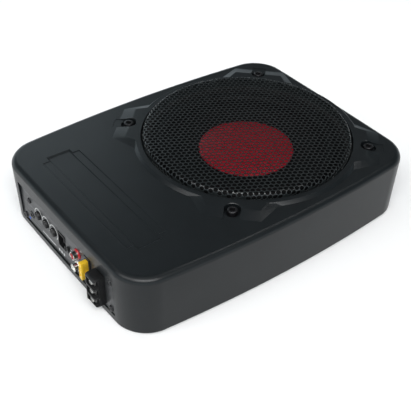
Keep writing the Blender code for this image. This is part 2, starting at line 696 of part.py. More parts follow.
def build_fuse(black, yellow):
    """A blade fuse standing out of its holder."""
    case = block((PANEL_X - 1.5, BEHIND + 12.0), around(FUSE_Y, HOLDER_HALF_Y), around(FUSE_Z, HOLDER_HALF_Z))
    holder = place("fuse_holder", case, black)
    slot = block((PANEL_X - 5.0, BEHIND + 9.0), around(FUSE_Y, 3.0), around(FUSE_Z, 10.4))
    cut(holder, "fuse_slot", slot)

    front = PANEL_X - FUSE_DEPTH
    half = 2.4
    web = 1.0
    body = block((front, front + 9.5), around(FUSE_Y, half), around(FUSE_Z, 9.6))
    fuse = place("fuse", body, yellow, False, (front, FUSE_Y, FUSE_Z))
    sides = ((FUSE_Y - 5.0, FUSE_Y - web), (FUSE_Y + web, FUSE_Y + 5.0))
    waist = (front + 2.6, front + 12.0)
    cut(fuse, "fuse_sides", *[block(waist, side, around(FUSE_Z, 2.6)) for side in sides])
    blade = (front + 8.0, front + 17.0)
    add(fuse, "blades", *[block(blade, around(FUSE_Y, 0.4), around(FUSE_Z + z, 2.5)) for z in (-6.2, 6.2)])


def build_terminals(black, zinc):
    """A barrier strip of three wells, each with a clamp and its screw."""
    face = TERMINAL_FACE
    front = face - TERMINAL_DEPTH
    floor = front + WELL_DEPTH
    outline = [(face, TERMINAL_LOW), (face, TERMINAL_HIGH), (front + 1.5, TERMINAL_HIGH),
               (front, TERMINAL_HIGH - 1.5), (front, TERMINAL_LOW + TERMINAL_BEVEL),
               (front + TERMINAL_BEVEL, TERMINAL_LOW)]
    strip = place("terminal_block", solid([[(x, y, z) for x, z in outline] for y in TERMINAL_SIDES]), black)
    well_y = (TERMINAL_SIDES[0] - 2.0, TERMINAL_SIDES[1] - 1.5)
    cut(strip, "wells", *[block((front - 3.0, floor), well_y, around(z, WELL_HALF)) for z in TERMINAL_ZS])
    through = (face - 10.0, face + 3.0)
    cut(strip, "terminal_holes", *[rod_x(through, TERMINAL_Y, z, TERMINAL_HOLE, 12) for z in TERMINAL_ZS])

    clamp_back = floor - GAP
    clamp_front = clamp_back - 1.0
    seat = clamp_front - GAP
    head = 3.2
    shank = 2.0
    head_front = seat - 2.8
    tip = face + 5.0
    screw_outline = [(0.0, head_front), (head - 0.6, head_front), (head, head_front + 0.6), (head, seat),
                     (shank, seat), (shank, tip), (0.0, tip)]
    for number, z in enumerate(TERMINAL_ZS, 1):
        origin = (clamp_front, TERMINAL_Y, z)
        clamp = block((clamp_front, clamp_back), around(TERMINAL_Y, head), around(z, 3.8))
        clamp = place(f"clamp_{number}", clamp, zinc, False, origin)
        hole = rod_x(around(clamp_back, 3.0), TERMINAL_Y, z, shank + GAP, 12)
        cut(clamp, f"clamp_{number}", hole)
        screw = along_x(screw_outline, TERMINAL_Y, z, 16)
        screw = place(f"terminal_screw_{number}", screw, zinc, True, origin)
        cut(screw, f"terminal_cross_{number}", cross_prism(TERMINAL_Y, z, around(head_front, 1.0)))


# ---------------------------------------------------------------- amplifier

def build_amplifier(green, aluminium, copper, sleeve):
    place("circuit_board", block((-160.0, -72.0), (-72.0, 73.0), (BOARD_Z, BOARD_TOP)), green)

    sink = place("heat_sink", block((-104.0, -76.0), (-66.0, 66.0), (PART_FOOT, 46.0)), aluminium)
    slots = [block((x, x + FIN_SLOT), (-70.0, 70.0), (PART_FOOT + 4.0, 50.0)) for x in FIN_XS]
    cut(sink, "fins", *slots)

    hole = 6.0
    rim = 16.0
    height = 13.0
    outline = [(hole, PART_FOOT), (rim - 1.0, PART_FOOT), (rim, PART_FOOT + 1.5),
               (rim, PART_FOOT + height - 1.5), (rim - 1.0, PART_FOOT + height), (hole, PART_FOOT + height)]
    place("toroid", lathe(outline, 24, TOROID_AT), copper, smooth=True)
    can = 9.0
    top = PART_FOOT + 29.0
    outline = [(0.0, PART_FOOT), (can, PART_FOOT), (can, top - 1.0), (can - 1.0, top), (0.0, top)]
    for number, at in enumerate(CAPACITORS_AT, 1):
        place(f"capacitor_{number}", lathe(outline, 24, at), sleeve, smooth=True)


def build_enclosure():
    plastic = material("black_housing", (0.026, 0.028, 0.030), 0.45)
    painted = material("painted_steel", (0.012, 0.012, 0.013), 0.5, 0.4)
    zinc = material("zinc_steel", (0.55, 0.55, 0.53), 0.3, 1.0)
    blackened = material("blackened_steel", (0.02, 0.02, 0.022), 0.35, 0.9)
    rubber = material("rubber", (0.012, 0.012, 0.012), 0.75)
    build_housing(plastic)
    build_base(painted, rubber, zinc)
    build_cap_screws(blackened)
    build_grille(painted)
    return painted, zinc, blackened, rubber


def build_driver(painted, zinc, rubber, copper):
    foam = material("foam", (0.03, 0.03, 0.03), 0.95)
    paper = material("cone_paper", (0.015, 0.015, 0.016), 0.6)
    red_cap = material("red_cap", (0.42, 0.01, 0.02), 0.35)
    cloth = material("spider_cloth", (0.45, 0.30, 0.10), 0.9)
    ferrite = material("ferrite", (0.05, 0.05, 0.055), 0.7)
    build_basket(painted)
    build_suspension(rubber, cloth)
    build_moving_parts(paper, red_cap, copper)
    build_magnet(zinc, ferrite, foam)


def build_end(zinc, blackened):
    plate = material("grey_panel", (0.20, 0.20, 0.21), 0.45, 0.6)
    moulding = material("connector_plastic", (0.010, 0.010, 0.011), 0.4)
    red = material("red_plastic", (0.55, 0.01, 0.01), 0.4)
    white = material("white_plastic", (0.75, 0.75, 0.73), 0.4)
    yellow = material("fuse_yellow", (0.75, 0.50, 0.03), 0.25)
    lamp = material("led_blue", (0.05, 0.12, 0.60), 0.2)
    build_panel(plate, blackened)
    build_controls(moulding, zinc)
    build_sockets(moulding, red, white, lamp)
    build_fuse(moulding, yellow)
    build_terminals(moulding, zinc)


def main():
    for old in list(bpy.data.objects):
        bpy.data.objects.remove(old, do_unlink=True)
    painted, zinc, blackened, rubber = build_enclosure()
    copper = material("copper", (0.65, 0.28, 0.12), 0.35, 1.0)
    build_driver(painted, zinc, rubber, copper)
    build_end(zinc, blackened)
    green = material("board_green", (0.01, 0.10, 0.03), 0.5)
    aluminium = material("aluminium", (0.60, 0.61, 0.62), 0.35, 1.0)
    sleeve = material("capacitor_sleeve", (0.02, 0.03, 0.10), 0.35)
    build_amplifier(green, aluminium, copper, sleeve)


main()
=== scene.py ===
"""The looks of a slim powered car subwoofer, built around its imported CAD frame.

Lengths are in millimetres from the middle of the housing, and z = 0 is the floor. The amplifier's end
panel is at -X and the driver at +X. Places are taken from the boxes of the CAD nodes.
"""
from math import atan2, cos, hypot, pi, radians, sin, sqrt

import bmesh
import bpy
from mathutils import Matrix, Vector


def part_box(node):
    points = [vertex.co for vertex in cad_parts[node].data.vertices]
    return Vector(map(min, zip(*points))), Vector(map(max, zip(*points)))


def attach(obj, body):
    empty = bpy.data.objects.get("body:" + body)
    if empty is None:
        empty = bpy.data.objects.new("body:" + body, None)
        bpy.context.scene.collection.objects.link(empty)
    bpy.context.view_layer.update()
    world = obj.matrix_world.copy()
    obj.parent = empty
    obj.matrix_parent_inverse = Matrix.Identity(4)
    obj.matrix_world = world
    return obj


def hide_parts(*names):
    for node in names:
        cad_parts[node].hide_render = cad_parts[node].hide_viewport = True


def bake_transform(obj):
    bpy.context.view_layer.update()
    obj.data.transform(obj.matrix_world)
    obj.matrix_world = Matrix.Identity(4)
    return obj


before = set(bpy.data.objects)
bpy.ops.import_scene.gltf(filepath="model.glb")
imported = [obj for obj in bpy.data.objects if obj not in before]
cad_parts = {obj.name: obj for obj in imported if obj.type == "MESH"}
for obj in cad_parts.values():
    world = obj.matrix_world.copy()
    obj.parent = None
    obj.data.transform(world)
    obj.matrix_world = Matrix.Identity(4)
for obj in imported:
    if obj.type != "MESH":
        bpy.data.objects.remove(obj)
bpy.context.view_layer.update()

MM = 0.001
housing_low, housing_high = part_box("housing")
ORIGIN = Vector(((housing_low.x + housing_high.x) / 2.0, (housing_low.y + housing_high.y) / 2.0, 0.0))


def corners(node):
    """A CAD node's lowest and highest corners, in millimetres from the middle of the housing."""
    low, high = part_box(node)
    return (low - ORIGIN) / MM, (high - ORIGIN) / MM


def middle(node):
    low, high = corners(node)
    return (low + high) / 2.0


GAP = 0.3                      # between pieces that touch, and round a piece in an opening

# Housing: the same outline as the CAD, drawn finer
FLARE = 1.9                    # how far the walls lean out from the rim to the roof
HALF_LENGTH = corners("housing")[1].x - FLARE
HALF_WIDTH = corners("housing")[1].y - FLARE
CORNER_RADIUS = 29.0
CORNER_SHRINK = 0.6            # how much of an inset the corner's radius loses
BOW_X = 1.3                    # how far the ends of an end wall fall back behind its middle
BOW_Y = 9.1                    # the same for a side wall
RIM_Z = corners("housing")[0].z
RIM_ROUND = ((0.0, 0.9), (0.4, 0.3), (1.5, 0.0))         # height above the rim, inset
DECK_Z = corners("housing")[1].z
DECK_RISE = 3.0                # from the roof to the deck round the driver
TOP_Z = DECK_Z - DECK_RISE
EDGE_RADIUS = 6.2              # round of the roof's edge
EDGE_STEPS = 9
CORNER_STEPS = 20
WALL = 3.0
ROOF = 3.5
ABOVE = DECK_Z + 5.0           # higher than the housing, for cuts that come down from the top
UNDER_ROOF = 50.0              # lower than the roof, for cuts that go through it
END_OPENING = (-175.0, -161.5)                           # from outside the end wall to inside it
END_ROUND = 1.2

# Deck round the driver, with a pad at each of its four screws
DRIVER_X = middle("grille").x
OPENING_RADIUS = 107.2
OPENING_ROUND = 0.7
DECK_RADIUS = 112.5
DECK_FOOT_RADIUS = 115.5
PAD_HALF = 25.3                # half width at the top of the slopes
PAD_OUT = 120.0                # distance of the outer edge from the driver's axis
PAD_FOOT_HALF = 27.3           # the same two at the foot of the slopes
PAD_FOOT_OUT = 133.0
PAD_TOP_ANGLE = 15.7           # from the pad's middle to where its side meets the ring
PAD_FOOT_ANGLE = 20.4
PAD_AT = (45.0, 135.0, 225.0, 315.0)
RING_STEPS = 20                # from one pad to the next
SCREW_AT = [middle(f"cap_screw_{n}") for n in (1, 2, 3, 4)]
SCREW_RADIUS = hypot(SCREW_AT[0].x - DRIVER_X, SCREW_AT[0].y)
COUNTERBORE_RADIUS = 8.0
COUNTERBORE_CHAMFER = 0.5
COUNTERBORE_Z = 63.5
BOSS_RADIUS = 11.0             # round floor that carries a counterbore under the roof
NOTCH_HALF = 7.6
NOTCH_OUT = 138.0
NOTCH_Z = 66.6
NOTCH_CHAMFER = 0.3

# Badge recess
BADGE_X = -122.2
BADGE_Y = 1.5
BADGE_STEPS = ((20.0, 75.0, 0.7), (12.8, 81.5, 1.4))     # half width, half length, depth
BADGE_SLOPE = 1.1              # how far the recess narrows for each millimetre of depth

# Grille
GRILLE_RADIUS = 105.2          # outside of the skirt
GRILLE_TOP = corners("grille")[1].z
GRILLE_RISE = 1.6              # from the dome's edge to its middle
GRILLE_BEND = 3.4              # how far in from its edge the sheet starts to turn down
GRILLE_DROP = 4.2              # how far it drops while it turns
GRILLE_FOOT = 5.0              # height of the solid foot below the perforated skirt
SHEET = 0.5                    # thickness
SHEET_RADIUS = GRILLE_RADIUS + 7.2                       # of the flat sheet, before it is pressed
HOLE_PITCH = 5.2
HOLE_RADIUS = 2.32
HOLE_SIDES = 12
HOLE_MARGIN = 0.6              # plain sheet left outside the last holes

# Driver
CONE_NECK = 26.7               # radius of the cone's middle hole
CONE_SHEET = 0.9               # thickness of the cone and of the dust cap
RIB_PITCH = 10.4
RIB_HALF_DEPTH = 0.35
ROLL_INNER = 80.6              # the surround's roll meets the cone
ROLL_OUTER = 93.0              # and the fixed rim
ROLL_RADIUS = 6.2
ROLL_Z = 57.5                  # the middle of the roll's half circle
ROLL_SHEET = 0.9               # thickness
LIP_INNER = 76.5
LIP_OUTER = ROLL_OUTER + 7.0
ROLL_STEPS = 14
SECTORS = 24
SECTOR_STEPS = 4

# Socket-head screws
SHANK_RADIUS = 2.85
HEX_RADIUS = 2.9
HEX_DEPTH = 3.6

# End panel and its fittings
PANEL_LOW, PANEL_HIGH = corners("end_panel")
PANEL_FACE = PANEL_LOW.x
PANEL_BACK = PANEL_HIGH.x
PRINT_X = (PANEL_FACE - 0.08, PANEL_FACE + 0.05)         # front and back of the printed marks
THROUGH_PANEL = (PANEL_FACE - 5.0, PANEL_BACK + 5.0)
CROSS_HALF = 0.34              # half the width of a cross recess's arms
ARC_RADIUS = 7.4
ARC_HALF_ANGLE = 140.0
ARC_WIDTH = 0.9
ARC_STEPS = 24
MARK_Z = 14.0                  # middle of the bar and dots below the knobs
JACK_Z = corners("remote_jack")[1].z - 5.5
JACK_BORE = 2.2
FUSE_LEG = 6.2                 # from the middle of the fuse to the middle of each leg

# Base plate
BASE_BOTTOM = corners("base_plate")[0].z
BASE_TOP = corners("base_screw_1")[0].z + 4.0            # the screws' faces are 4 mm below it

# Camera
LENS_LENGTH = 72.8
LENS_SHIFT = 0.003
VIEW_FROM = (-411.1, -530.3, 544.6)
VIEW_AHEAD = (0.47315, 0.61332, -0.63243)
VIEW_RIGHT = (0.80108, -0.59825, 0.01915)                # very slightly rolled


# ---------------------------------------------------------------- shapes

def loft(rings):
    """Skin a stack of equal rings and cap its ends."""
    bm = bmesh.new()
    rows = [[bm.verts.new(p) for p in ring] for ring in rings]
    count = len(rows[0])
    for low, high in zip(rows, rows[1:]):
        for i in range(count):
            j = (i + 1) % count
            bm.faces.new((low[i], low[j], high[j], high[i]))
    bm.faces.new(list(reversed(rows[0])))
    bm.faces.new(rows[-1])
    return bm


def lathe(profile, steps=48, centre=(0.0, 0.0), fluted=(), flute=0.0):
    """Turn a closed (radius, z) outline about an upright axis; the fluted rows are ridged all round."""
    bm = bmesh.new()
    rows = []
    for index, (radius, z) in enumerate(profile):
        if radius == 0.0:
            rows.append([bm.verts.new((centre[0], centre[1], z))] * steps)
            continue
        row = []
        for k in range(steps):
            turn = 2.0 * pi * k / steps
            r = radius - (flute if index in fluted and k % 2 else 0.0)
            row.append(bm.verts.new((centre[0] + r * cos(turn), centre[1] + r * sin(turn), z)))
        rows.append(row)
    for row, following in zip(rows, rows[1:] + rows[:1]):
        for k in range(steps):
            n = (k + 1) % steps
            around = list(dict.fromkeys((row[k], row[n], following[n], following[k])))
            if len(around) > 2:
                bm.faces.new(around)
    return bm


def lathe_x(profile, y, z, steps=32, fluted=(), flute=0.0):
    """Turn a closed (radius, x) outline about a line along X."""
    bm = lathe(profile, steps, (0.0, 0.0), fluted, flute)
    quarter = Matrix(((0, 0, 1), (1, 0, 0), (0, 1, 0))).to_4x4()
    bmesh.ops.transform(bm, matrix=Matrix.Translation((0.0, y, z)) @ quarter, verts=bm.verts)
    return bm


def block(x, y, z, bevel=0.0, segments=2):
    """A box from its low and high limits along each axis, with rounded edges."""
    outline = ((x[0], y[0]), (x[1], y[0]), (x[1], y[1]), (x[0], y[1]))
    bm = loft([[(cx, cy, height) for cx, cy in outline] for height in z])
    if bevel:
        bmesh.ops.recalc_face_normals(bm, faces=bm.faces)
        bmesh.ops.bevel(bm, geom=list(bm.edges), offset=bevel, segments=segments, profile=0.5, affect="EDGES")
    return bm


def block_at(centre, size, bevel=0.0):
    spans = [(c - s / 2.0, c + s / 2.0) for c, s in zip(centre, size)]
    return block(*spans, bevel)


def rod(x, y, z, radius, steps=32):
    return lathe([(0.0, z[0]), (radius, z[0]), (radius, z[1]), (0.0, z[1])], steps, (x, y))


def rod_x(x, y, z, radius, steps=32):
    return lathe_x([(0.0, x[0]), (radius, x[0]), (radius, x[1]), (0.0, x[1])], y, z, steps)


def joined(*parts):
    """Put separate solids into one mesh."""
    bm = bmesh.new()
    for part in parts:
        part.verts.index_update()
        copies = [bm.verts.new(v.co) for v in part.verts]
        for face in part.faces:
            bm.faces.new([copies[v.index] for v in face.verts])
        part.free()
    return bm


def loose(bm):
    """A temporary object for a Boolean."""
    bmesh.ops.recalc_face_normals(bm, faces=bm.faces)
    mesh = bpy.data.meshes.new("loose")
    bm.to_mesh(mesh)
    bm.free()
    thing = bpy.data.objects.new("loose", mesh)
    bpy.context.scene.collection.objects.link(thing)
    return thing


def shaped(bm, *steps):
    """Add solids to a solid or cut them from it, in order; each step is an operation and a mesh."""
    things = [loose(bm)]
    for operation, other in steps:
        things.append(loose(other))
        step = things[0].modifiers.new(operation, "BOOLEAN")
        step.operation = operation
        step.solver = "EXACT"
        step.object = things[-1]
    view = bpy.context.evaluated_depsgraph_get()
    view.update()
    result = bmesh.new()
    result.from_mesh(things[0].evaluated_get(view).to_mesh())
    for thing in things:
        bpy.data.meshes.remove(thing.data)
    return result


def cut(bm, *parts):
    return shaped(bm, ("DIFFERENCE", joined(*parts)))


def piece(name, bm, look, body="root", stands_for=(), crease=35.0):
    """Turn geometry in millimetres into an object that rides on a body, smooth below the crease angle."""
    bmesh.ops.recalc_face_normals(bm, faces=bm.faces)
    mesh = bpy.data.meshes.new(name)
    bm.to_mesh(mesh)
    bm.free()
    mesh.transform(Matrix.Translation(ORIGIN) @ Matrix.Scale(MM, 4))
    for face in mesh.polygons:
        face.use_smooth = True
    mesh.set_sharp_from_angle(angle=radians(crease))
    mesh.materials.append(look)
    made = bpy.data.objects.new(name, mesh)
    bpy.context.scene.collection.objects.link(made)
    if body:
        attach(made, body)
    if stands_for:
        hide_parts(*stands_for)
    return made


# ---------------------------------------------------------------- materials

def add_node(tree, kind, inputs=None, **settings):
    made = tree.nodes.new(kind)
    for key, value in settings.items():
        setattr(made, key, value)
    for key, value in (inputs or {}).items():
        made.inputs[key].default_value = value
    return made


def noise(tree, where, scale, detail=3.0, stretch=(1.0, 1.0, 1.0)):
    """Noise over the object's own coordinates; the scale counts features per metre."""
    mapping = add_node(tree, "ShaderNodeMapping", {"Scale": stretch})
    tree.links.new(where.outputs["Object"], mapping.inputs["Vector"])
    made = add_node(tree, "ShaderNodeTexNoise", {"Scale": scale, "Detail": detail})
    tree.links.new(mapping.outputs["Vector"], made.inputs["Vector"])
    return made.outputs["Fac"]


def remap(tree, value, low, high, to_low, to_high):
    made = add_node(tree, "ShaderNodeMapRange", {"From Min": low, "From Max": high, "To Min": to_low,
                                                 "To Max": to_high})
    tree.links.new(value, made.inputs["Value"])
    return made.outputs["Result"]


def mixed(tree, factor, first, second):
    """Blend two colours; each is a colour or a socket."""
    made = add_node(tree, "ShaderNodeMix", data_type="RGBA")
    tree.links.new(factor, made.inputs["Factor"])
    for name, colour in (("A", first), ("B", second)):
        socket = next(s for s in made.inputs if s.name == name and s.type == "RGBA")
        if isinstance(colour, tuple):
            socket.default_value = (*colour, 1.0)
        else:
            tree.links.new(colour, socket)
    return next(s for s in made.outputs if s.type == "RGBA")


def edge_wear_and_glint(tree, where, shade, wear_and_glint_colour, wear_and_glint_amount):
    """Show a pale colour in patches along convex edges, whose pointiness is over a flat face's 0.5: rubbed
    wear on most finishes, and a painted glint on the grille's hole edges.
    """
    edge = add_node(tree, "ShaderNodeNewGeometry").outputs["Pointiness"]
    convex = remap(tree, edge, 0.53, 0.62, 0.0, wear_and_glint_amount)
    scuffs_and_glints = add_node(tree, "ShaderNodeMath", operation="MULTIPLY")
    tree.links.new(convex, scuffs_and_glints.inputs[0])
    tree.links.new(remap(tree, noise(tree, where, 220.0, 3.0), 0.4, 0.6, 0.2, 1.0), scuffs_and_glints.inputs[1])
    return mixed(tree, scuffs_and_glints.outputs["Value"], shade, wear_and_glint_colour)


def finish(name, colour, roughness, metallic=0.0, mottle=0.2, patch=45.0, grain=1500.0, relief=0.03,
           uneven=0.07, wear_and_glint_colour=None, wear_and_glint_amount=0.5, stretch=(1.0, 1.0, 1.0), **fixed):
    """A procedural finish: mottled colour, uneven gloss, grain of a given relief, and paler edges: rubbed
    wear, and on the grille a painted glint.
    """
    made = bpy.data.materials.new(name)
    made.use_nodes = True
    tree = made.node_tree
    surface = tree.nodes["Principled BSDF"]
    surface.inputs["Metallic"].default_value = metallic
    for key, value in fixed.items():
        surface.inputs[key.replace("_", " ")].default_value = value
    where = add_node(tree, "ShaderNodeTexCoord")
    patches = remap(tree, noise(tree, where, patch, 4.0, stretch), 0.3, 0.7, 0.0, 1.0)
    fine = noise(tree, where, grain, 2.0, stretch)
    dark = tuple(c * (1.0 - mottle) for c in colour)
    pale = tuple(min(c * (1.0 + mottle), 1.0) for c in colour)
    shade = mixed(tree, patches, dark, pale)
    if wear_and_glint_colour:
        shade = edge_wear_and_glint(tree, where, shade, wear_and_glint_colour, wear_and_glint_amount)
    tree.links.new(shade, surface.inputs["Base Color"])
    rough = remap(tree, fine, 0.3, 0.7, roughness - uneven, roughness + uneven)
    tree.links.new(rough, surface.inputs["Roughness"])
    bump = add_node(tree, "ShaderNodeBump", {"Strength": 1.0, "Distance": relief * MM})
    tree.links.new(fine, bump.inputs["Height"])
    tree.links.new(bump.outputs["Normal"], surface.inputs["Normal"])
    return made


PLASTIC = finish("moulded_plastic", (0.0062, 0.0078, 0.0088), 0.34, mottle=0.10, grain=1300.0, relief=0.03,
                 wear_and_glint_colour=(0.024, 0.028, 0.029), wear_and_glint_amount=0.35, uneven=0.05, Specular_IOR_Level=0.25)
# the grille paint's pale edge colour is a painted glint on the rims of its holes, not wear
MESH_STEEL = finish("grille_paint", (0.0100, 0.0122, 0.0127), 0.30, mottle=0.18, grain=2600.0, relief=0.02,
                    wear_and_glint_colour=(0.13, 0.14, 0.14), wear_and_glint_amount=0.10, Specular_IOR_Level=0.45)
PAINTED = finish("painted_steel", (0.013, 0.013, 0.014), 0.46, mottle=0.2, relief=0.03,
                 wear_and_glint_colour=(0.10, 0.10, 0.10))
PLATE = finish("panel_metal", (0.058, 0.060, 0.063), 0.38, 0.7, mottle=0.10, patch=70.0, grain=900.0,
               relief=0.012, uneven=0.10, stretch=(1.0, 0.06, 1.0))
ZINC = finish("zinc_plate", (0.38, 0.38, 0.37), 0.34, 1.0, mottle=0.12, patch=160.0, grain=1200.0,
              relief=0.012)
NICKEL = finish("nickel", (0.70, 0.69, 0.66), 0.18, 1.0, mottle=0.06, patch=200.0, grain=1600.0, relief=0.006)
BLACK_STEEL = finish("black_oxide", (0.020, 0.020, 0.022), 0.33, 0.7, mottle=0.2, patch=300.0, grain=1800.0,
                     relief=0.02, wear_and_glint_colour=(0.12, 0.12, 0.12), wear_and_glint_amount=0.5)
RUBBER = finish("rubber", (0.012, 0.012, 0.012), 0.68, mottle=0.25, grain=900.0, relief=0.06)
SURROUND = finish("surround_rubber", (0.0030, 0.0033, 0.0036), 0.55, mottle=0.2, grain=1100.0, relief=0.03,
                  Specular_IOR_Level=0.07)
FOAM = finish("foam", (0.012, 0.012, 0.0125), 0.92, mottle=0.35, patch=400.0, grain=800.0, relief=0.35,
              Specular_IOR_Level=0.15)
PAPER = finish("cone_pulp", (0.0036, 0.0040, 0.0042), 0.70, mottle=0.3, patch=120.0, grain=700.0, relief=0.12,
               Specular_IOR_Level=0.05)
RED_CAP = finish("cap_lacquer", (0.20, 0.0045, 0.011), 0.40, mottle=0.08, patch=60.0, grain=900.0,
                 relief=0.02, Specular_IOR_Level=0.2)
CLOTH = finish("spider_cloth", (0.42, 0.27, 0.09), 0.85, mottle=0.3, patch=500.0, grain=1400.0, relief=0.2)
COPPER = finish("copper_wire", (0.66, 0.27, 0.11), 0.33, 1.0, mottle=0.2, patch=90.0, grain=1500.0,
                relief=0.08, stretch=(0.2, 0.2, 1.0))
FERRITE = finish("ferrite", (0.045, 0.045, 0.05), 0.66, mottle=0.3, patch=90.0, grain=1000.0, relief=0.08)
MOULDING = finish("connector_plastic", (0.006, 0.006, 0.0065), 0.42, mottle=0.2, patch=160.0, grain=1600.0,
                  relief=0.03, wear_and_glint_colour=(0.04, 0.04, 0.04), wear_and_glint_amount=0.35, Specular_IOR_Level=0.30)
RED = finish("red_plastic", (0.36, 0.008, 0.012), 0.33, mottle=0.10, patch=200.0, relief=0.02)
WHITE = finish("white_plastic", (0.74, 0.73, 0.69), 0.35, mottle=0.06, patch=200.0, relief=0.02)
PRINT = finish("white_ink", (0.50, 0.50, 0.49), 0.55, mottle=0.06, patch=300.0, relief=0.01)
AMBER = finish("fuse_plastic", (0.86, 0.55, 0.035), 0.22, mottle=0.06, patch=120.0, relief=0.01,
               Transmission_Weight=0.25, IOR=1.49)
LENS = finish("led_lens", (0.05, 0.16, 0.70), 0.15, mottle=0.05, patch=300.0, relief=0.005,
              Transmission_Weight=0.5, IOR=1.5)
BOARD = finish("board_mask", (0.010, 0.085, 0.030), 0.42, mottle=0.3, patch=220.0, grain=700.0, relief=0.03)
ALUMINIUM = finish("extruded_aluminium", (0.60, 0.61, 0.62), 0.38, 1.0, mottle=0.10, patch=80.0, relief=0.02,
                   stretch=(1.0, 0.05, 1.0))
SLEEVE = finish("capacitor_sleeve", (0.018, 0.028, 0.095), 0.32, mottle=0.1, patch=90.0, relief=0.01)
FLOOR_PAPER = finish("floor_paper", (0.86, 0.86, 0.86), 0.8, mottle=0.01, patch=3.0, relief=0.01)


def paint_inside():
    """Give each CAD node that stays in view its procedural finish."""
    finishes = {"driver_gasket": FOAM, "basket": PAINTED, "spider": CLOTH, "voice_coil": COPPER,
                "top_plate": ZINC, "magnet": FERRITE, "yoke": ZINC, "phase_switch_body": ZINC,
                "rca_block": MOULDING, "circuit_board": BOARD, "heat_sink": ALUMINIUM, "toroid": COPPER,
                "capacitor_1": SLEEVE, "capacitor_2": SLEEVE, "pot_1": ZINC, "pot_2": ZINC, "pot_3": ZINC}
    for name, made in finishes.items():
        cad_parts[name].material_slots[0].material = made


# ---------------------------------------------------------------- housing

def between(start, end, share):
    return start + (end - start) * share


def box_outline(z, inset):
    """The bowed, round-cornered outline at height z, moved in by an inset."""
    a = HALF_LENGTH - inset
    b = HALF_WIDTH - inset
    r = CORNER_RADIUS - CORNER_SHRINK * inset
    centres = ((a - r, b - r), (r - a, b - r), (r - a, r - b), (a - r, r - b))
    points = []
    for quarter, (cx, cy) in enumerate(centres):
        for k in range(CORNER_STEPS + 1):
            turn = (quarter + k / CORNER_STEPS) * pi / 2.0
            points.append(Vector((cx + r * cos(turn), cy + r * sin(turn))))
        start = points[-1]
        ahead = (quarter + 1) * pi / 2.0
        end = Vector(centres[(quarter + 1) % 4]) + r * Vector((cos(ahead), sin(ahead)))
        points += [start.lerp(end, k / CORNER_STEPS) for k in range(1, CORNER_STEPS)]
    ring = []
    for x, y in points:
        bow_x = BOW_X * (y / b) ** 2 * (1 if x > 0 else -1)
        bow_y = BOW_Y * (x / a) ** 2 * (1 if y > 0 else -1)
        ring.append((x - bow_x, y - bow_y, z))
    return ring


def at_angle(u, v, degrees):
    """Plan coordinates about the driver: u outward at the given angle, v across."""
    turn = radians(degrees)
    return DRIVER_X + u * cos(turn) - v * sin(turn), u * sin(turn) + v * cos(turn)


def deck_outline(t, z):
    """The raised ring with its four pads: t is 0 at the foot of its slopes and 1 at their top."""
    half = between(PAD_FOOT_HALF, PAD_HALF, t)
    out = between(PAD_FOOT_OUT, PAD_OUT, t)
    radius = between(DECK_FOOT_RADIUS, DECK_RADIUS, t)
    angle = between(PAD_FOOT_ANGLE, PAD_TOP_ANGLE, t)
    points = []
    for pad in PAD_AT:
        points.append((*at_angle(out, -half, pad), z))
        points.append((*at_angle(out, half, pad), z))
        for k in range(RING_STEPS + 1):
            turn = pad + angle + (90.0 - 2.0 * angle) * k / RING_STEPS
            points.append((*at_angle(radius, 0.0, turn), z))
    return points


def outer_shell():
    """The walls, from their rounded rim up to the rounded edge of the roof."""
    edge_z = TOP_Z - EDGE_RADIUS
    rings = [box_outline(RIM_Z + rise, inset) for rise, inset in RIM_ROUND]
    rings.append(box_outline(edge_z, -FLARE))
    for k in range(1, EDGE_STEPS + 1):
        turn = k * pi / (2.0 * EDGE_STEPS)
        inset = EDGE_RADIUS * (1.0 - cos(turn)) - FLARE
        rings.append(box_outline(edge_z + EDGE_RADIUS * sin(turn), inset))
    return loft(rings)


def deck():
    """The ring and its pads, softened at the foot and at the top of their slopes."""
    rings = [deck_outline(0.0, TOP_Z - 2.5)]
    for t, z in ((-0.04, TOP_Z), (0.04, TOP_Z + 0.16), (0.92, DECK_Z - 0.24), (0.98, DECK_Z - 0.07),
                 (1.06, DECK_Z)):
        rings.append(deck_outline(t, z))
    return loft(rings)


def hollow():
    return loft([box_outline(RIM_Z - 5.0, WALL), box_outline(TOP_Z - ROOF, WALL - FLARE)])


def driver_opening():
    """The cutter for the driver's round opening, with a rounded upper edge."""
    outline = [(0.0, UNDER_ROOF), (OPENING_RADIUS, UNDER_ROOF), (OPENING_RADIUS, DECK_Z - OPENING_ROUND),
               (OPENING_RADIUS + 0.2, DECK_Z - 0.2), (OPENING_RADIUS + OPENING_ROUND, DECK_Z),
               (OPENING_RADIUS + OPENING_ROUND, ABOVE), (0.0, ABOVE)]
    return lathe(outline, 144, (DRIVER_X, 0.0))


def end_opening():
    spans = [(PANEL_LOW[i] - GAP, PANEL_HIGH[i] + GAP) for i in (1, 2)]
    return block(END_OPENING, *spans, END_ROUND, 3)


def notch(corner):
    """The cutter for a screw's channel: straight-sided, with a small chamfer along its top edges."""
    levels = ((0.0, NOTCH_Z), (0.0, DECK_Z - NOTCH_CHAMFER), (NOTCH_CHAMFER, DECK_Z), (NOTCH_CHAMFER, ABOVE))
    rings = []
    for widen, z in levels:
        half = NOTCH_HALF + widen
        edges = ((SCREW_RADIUS, -half), (NOTCH_OUT, -half), (NOTCH_OUT, half), (SCREW_RADIUS, half))
        rings.append([(*at_angle(u, v, corner), z) for u, v in edges])
    return loft(rings)


def counterbore(at):
    """The cutter for a screw head's round seat, with a chamfered upper edge."""
    outer = COUNTERBORE_RADIUS + COUNTERBORE_CHAMFER
    outline = [(0.0, COUNTERBORE_Z), (COUNTERBORE_RADIUS, COUNTERBORE_Z),
               (COUNTERBORE_RADIUS, DECK_Z - COUNTERBORE_CHAMFER), (outer, DECK_Z), (outer, ABOVE),
               (0.0, ABOVE)]
    return lathe(outline, 40, (at.x, at.y))


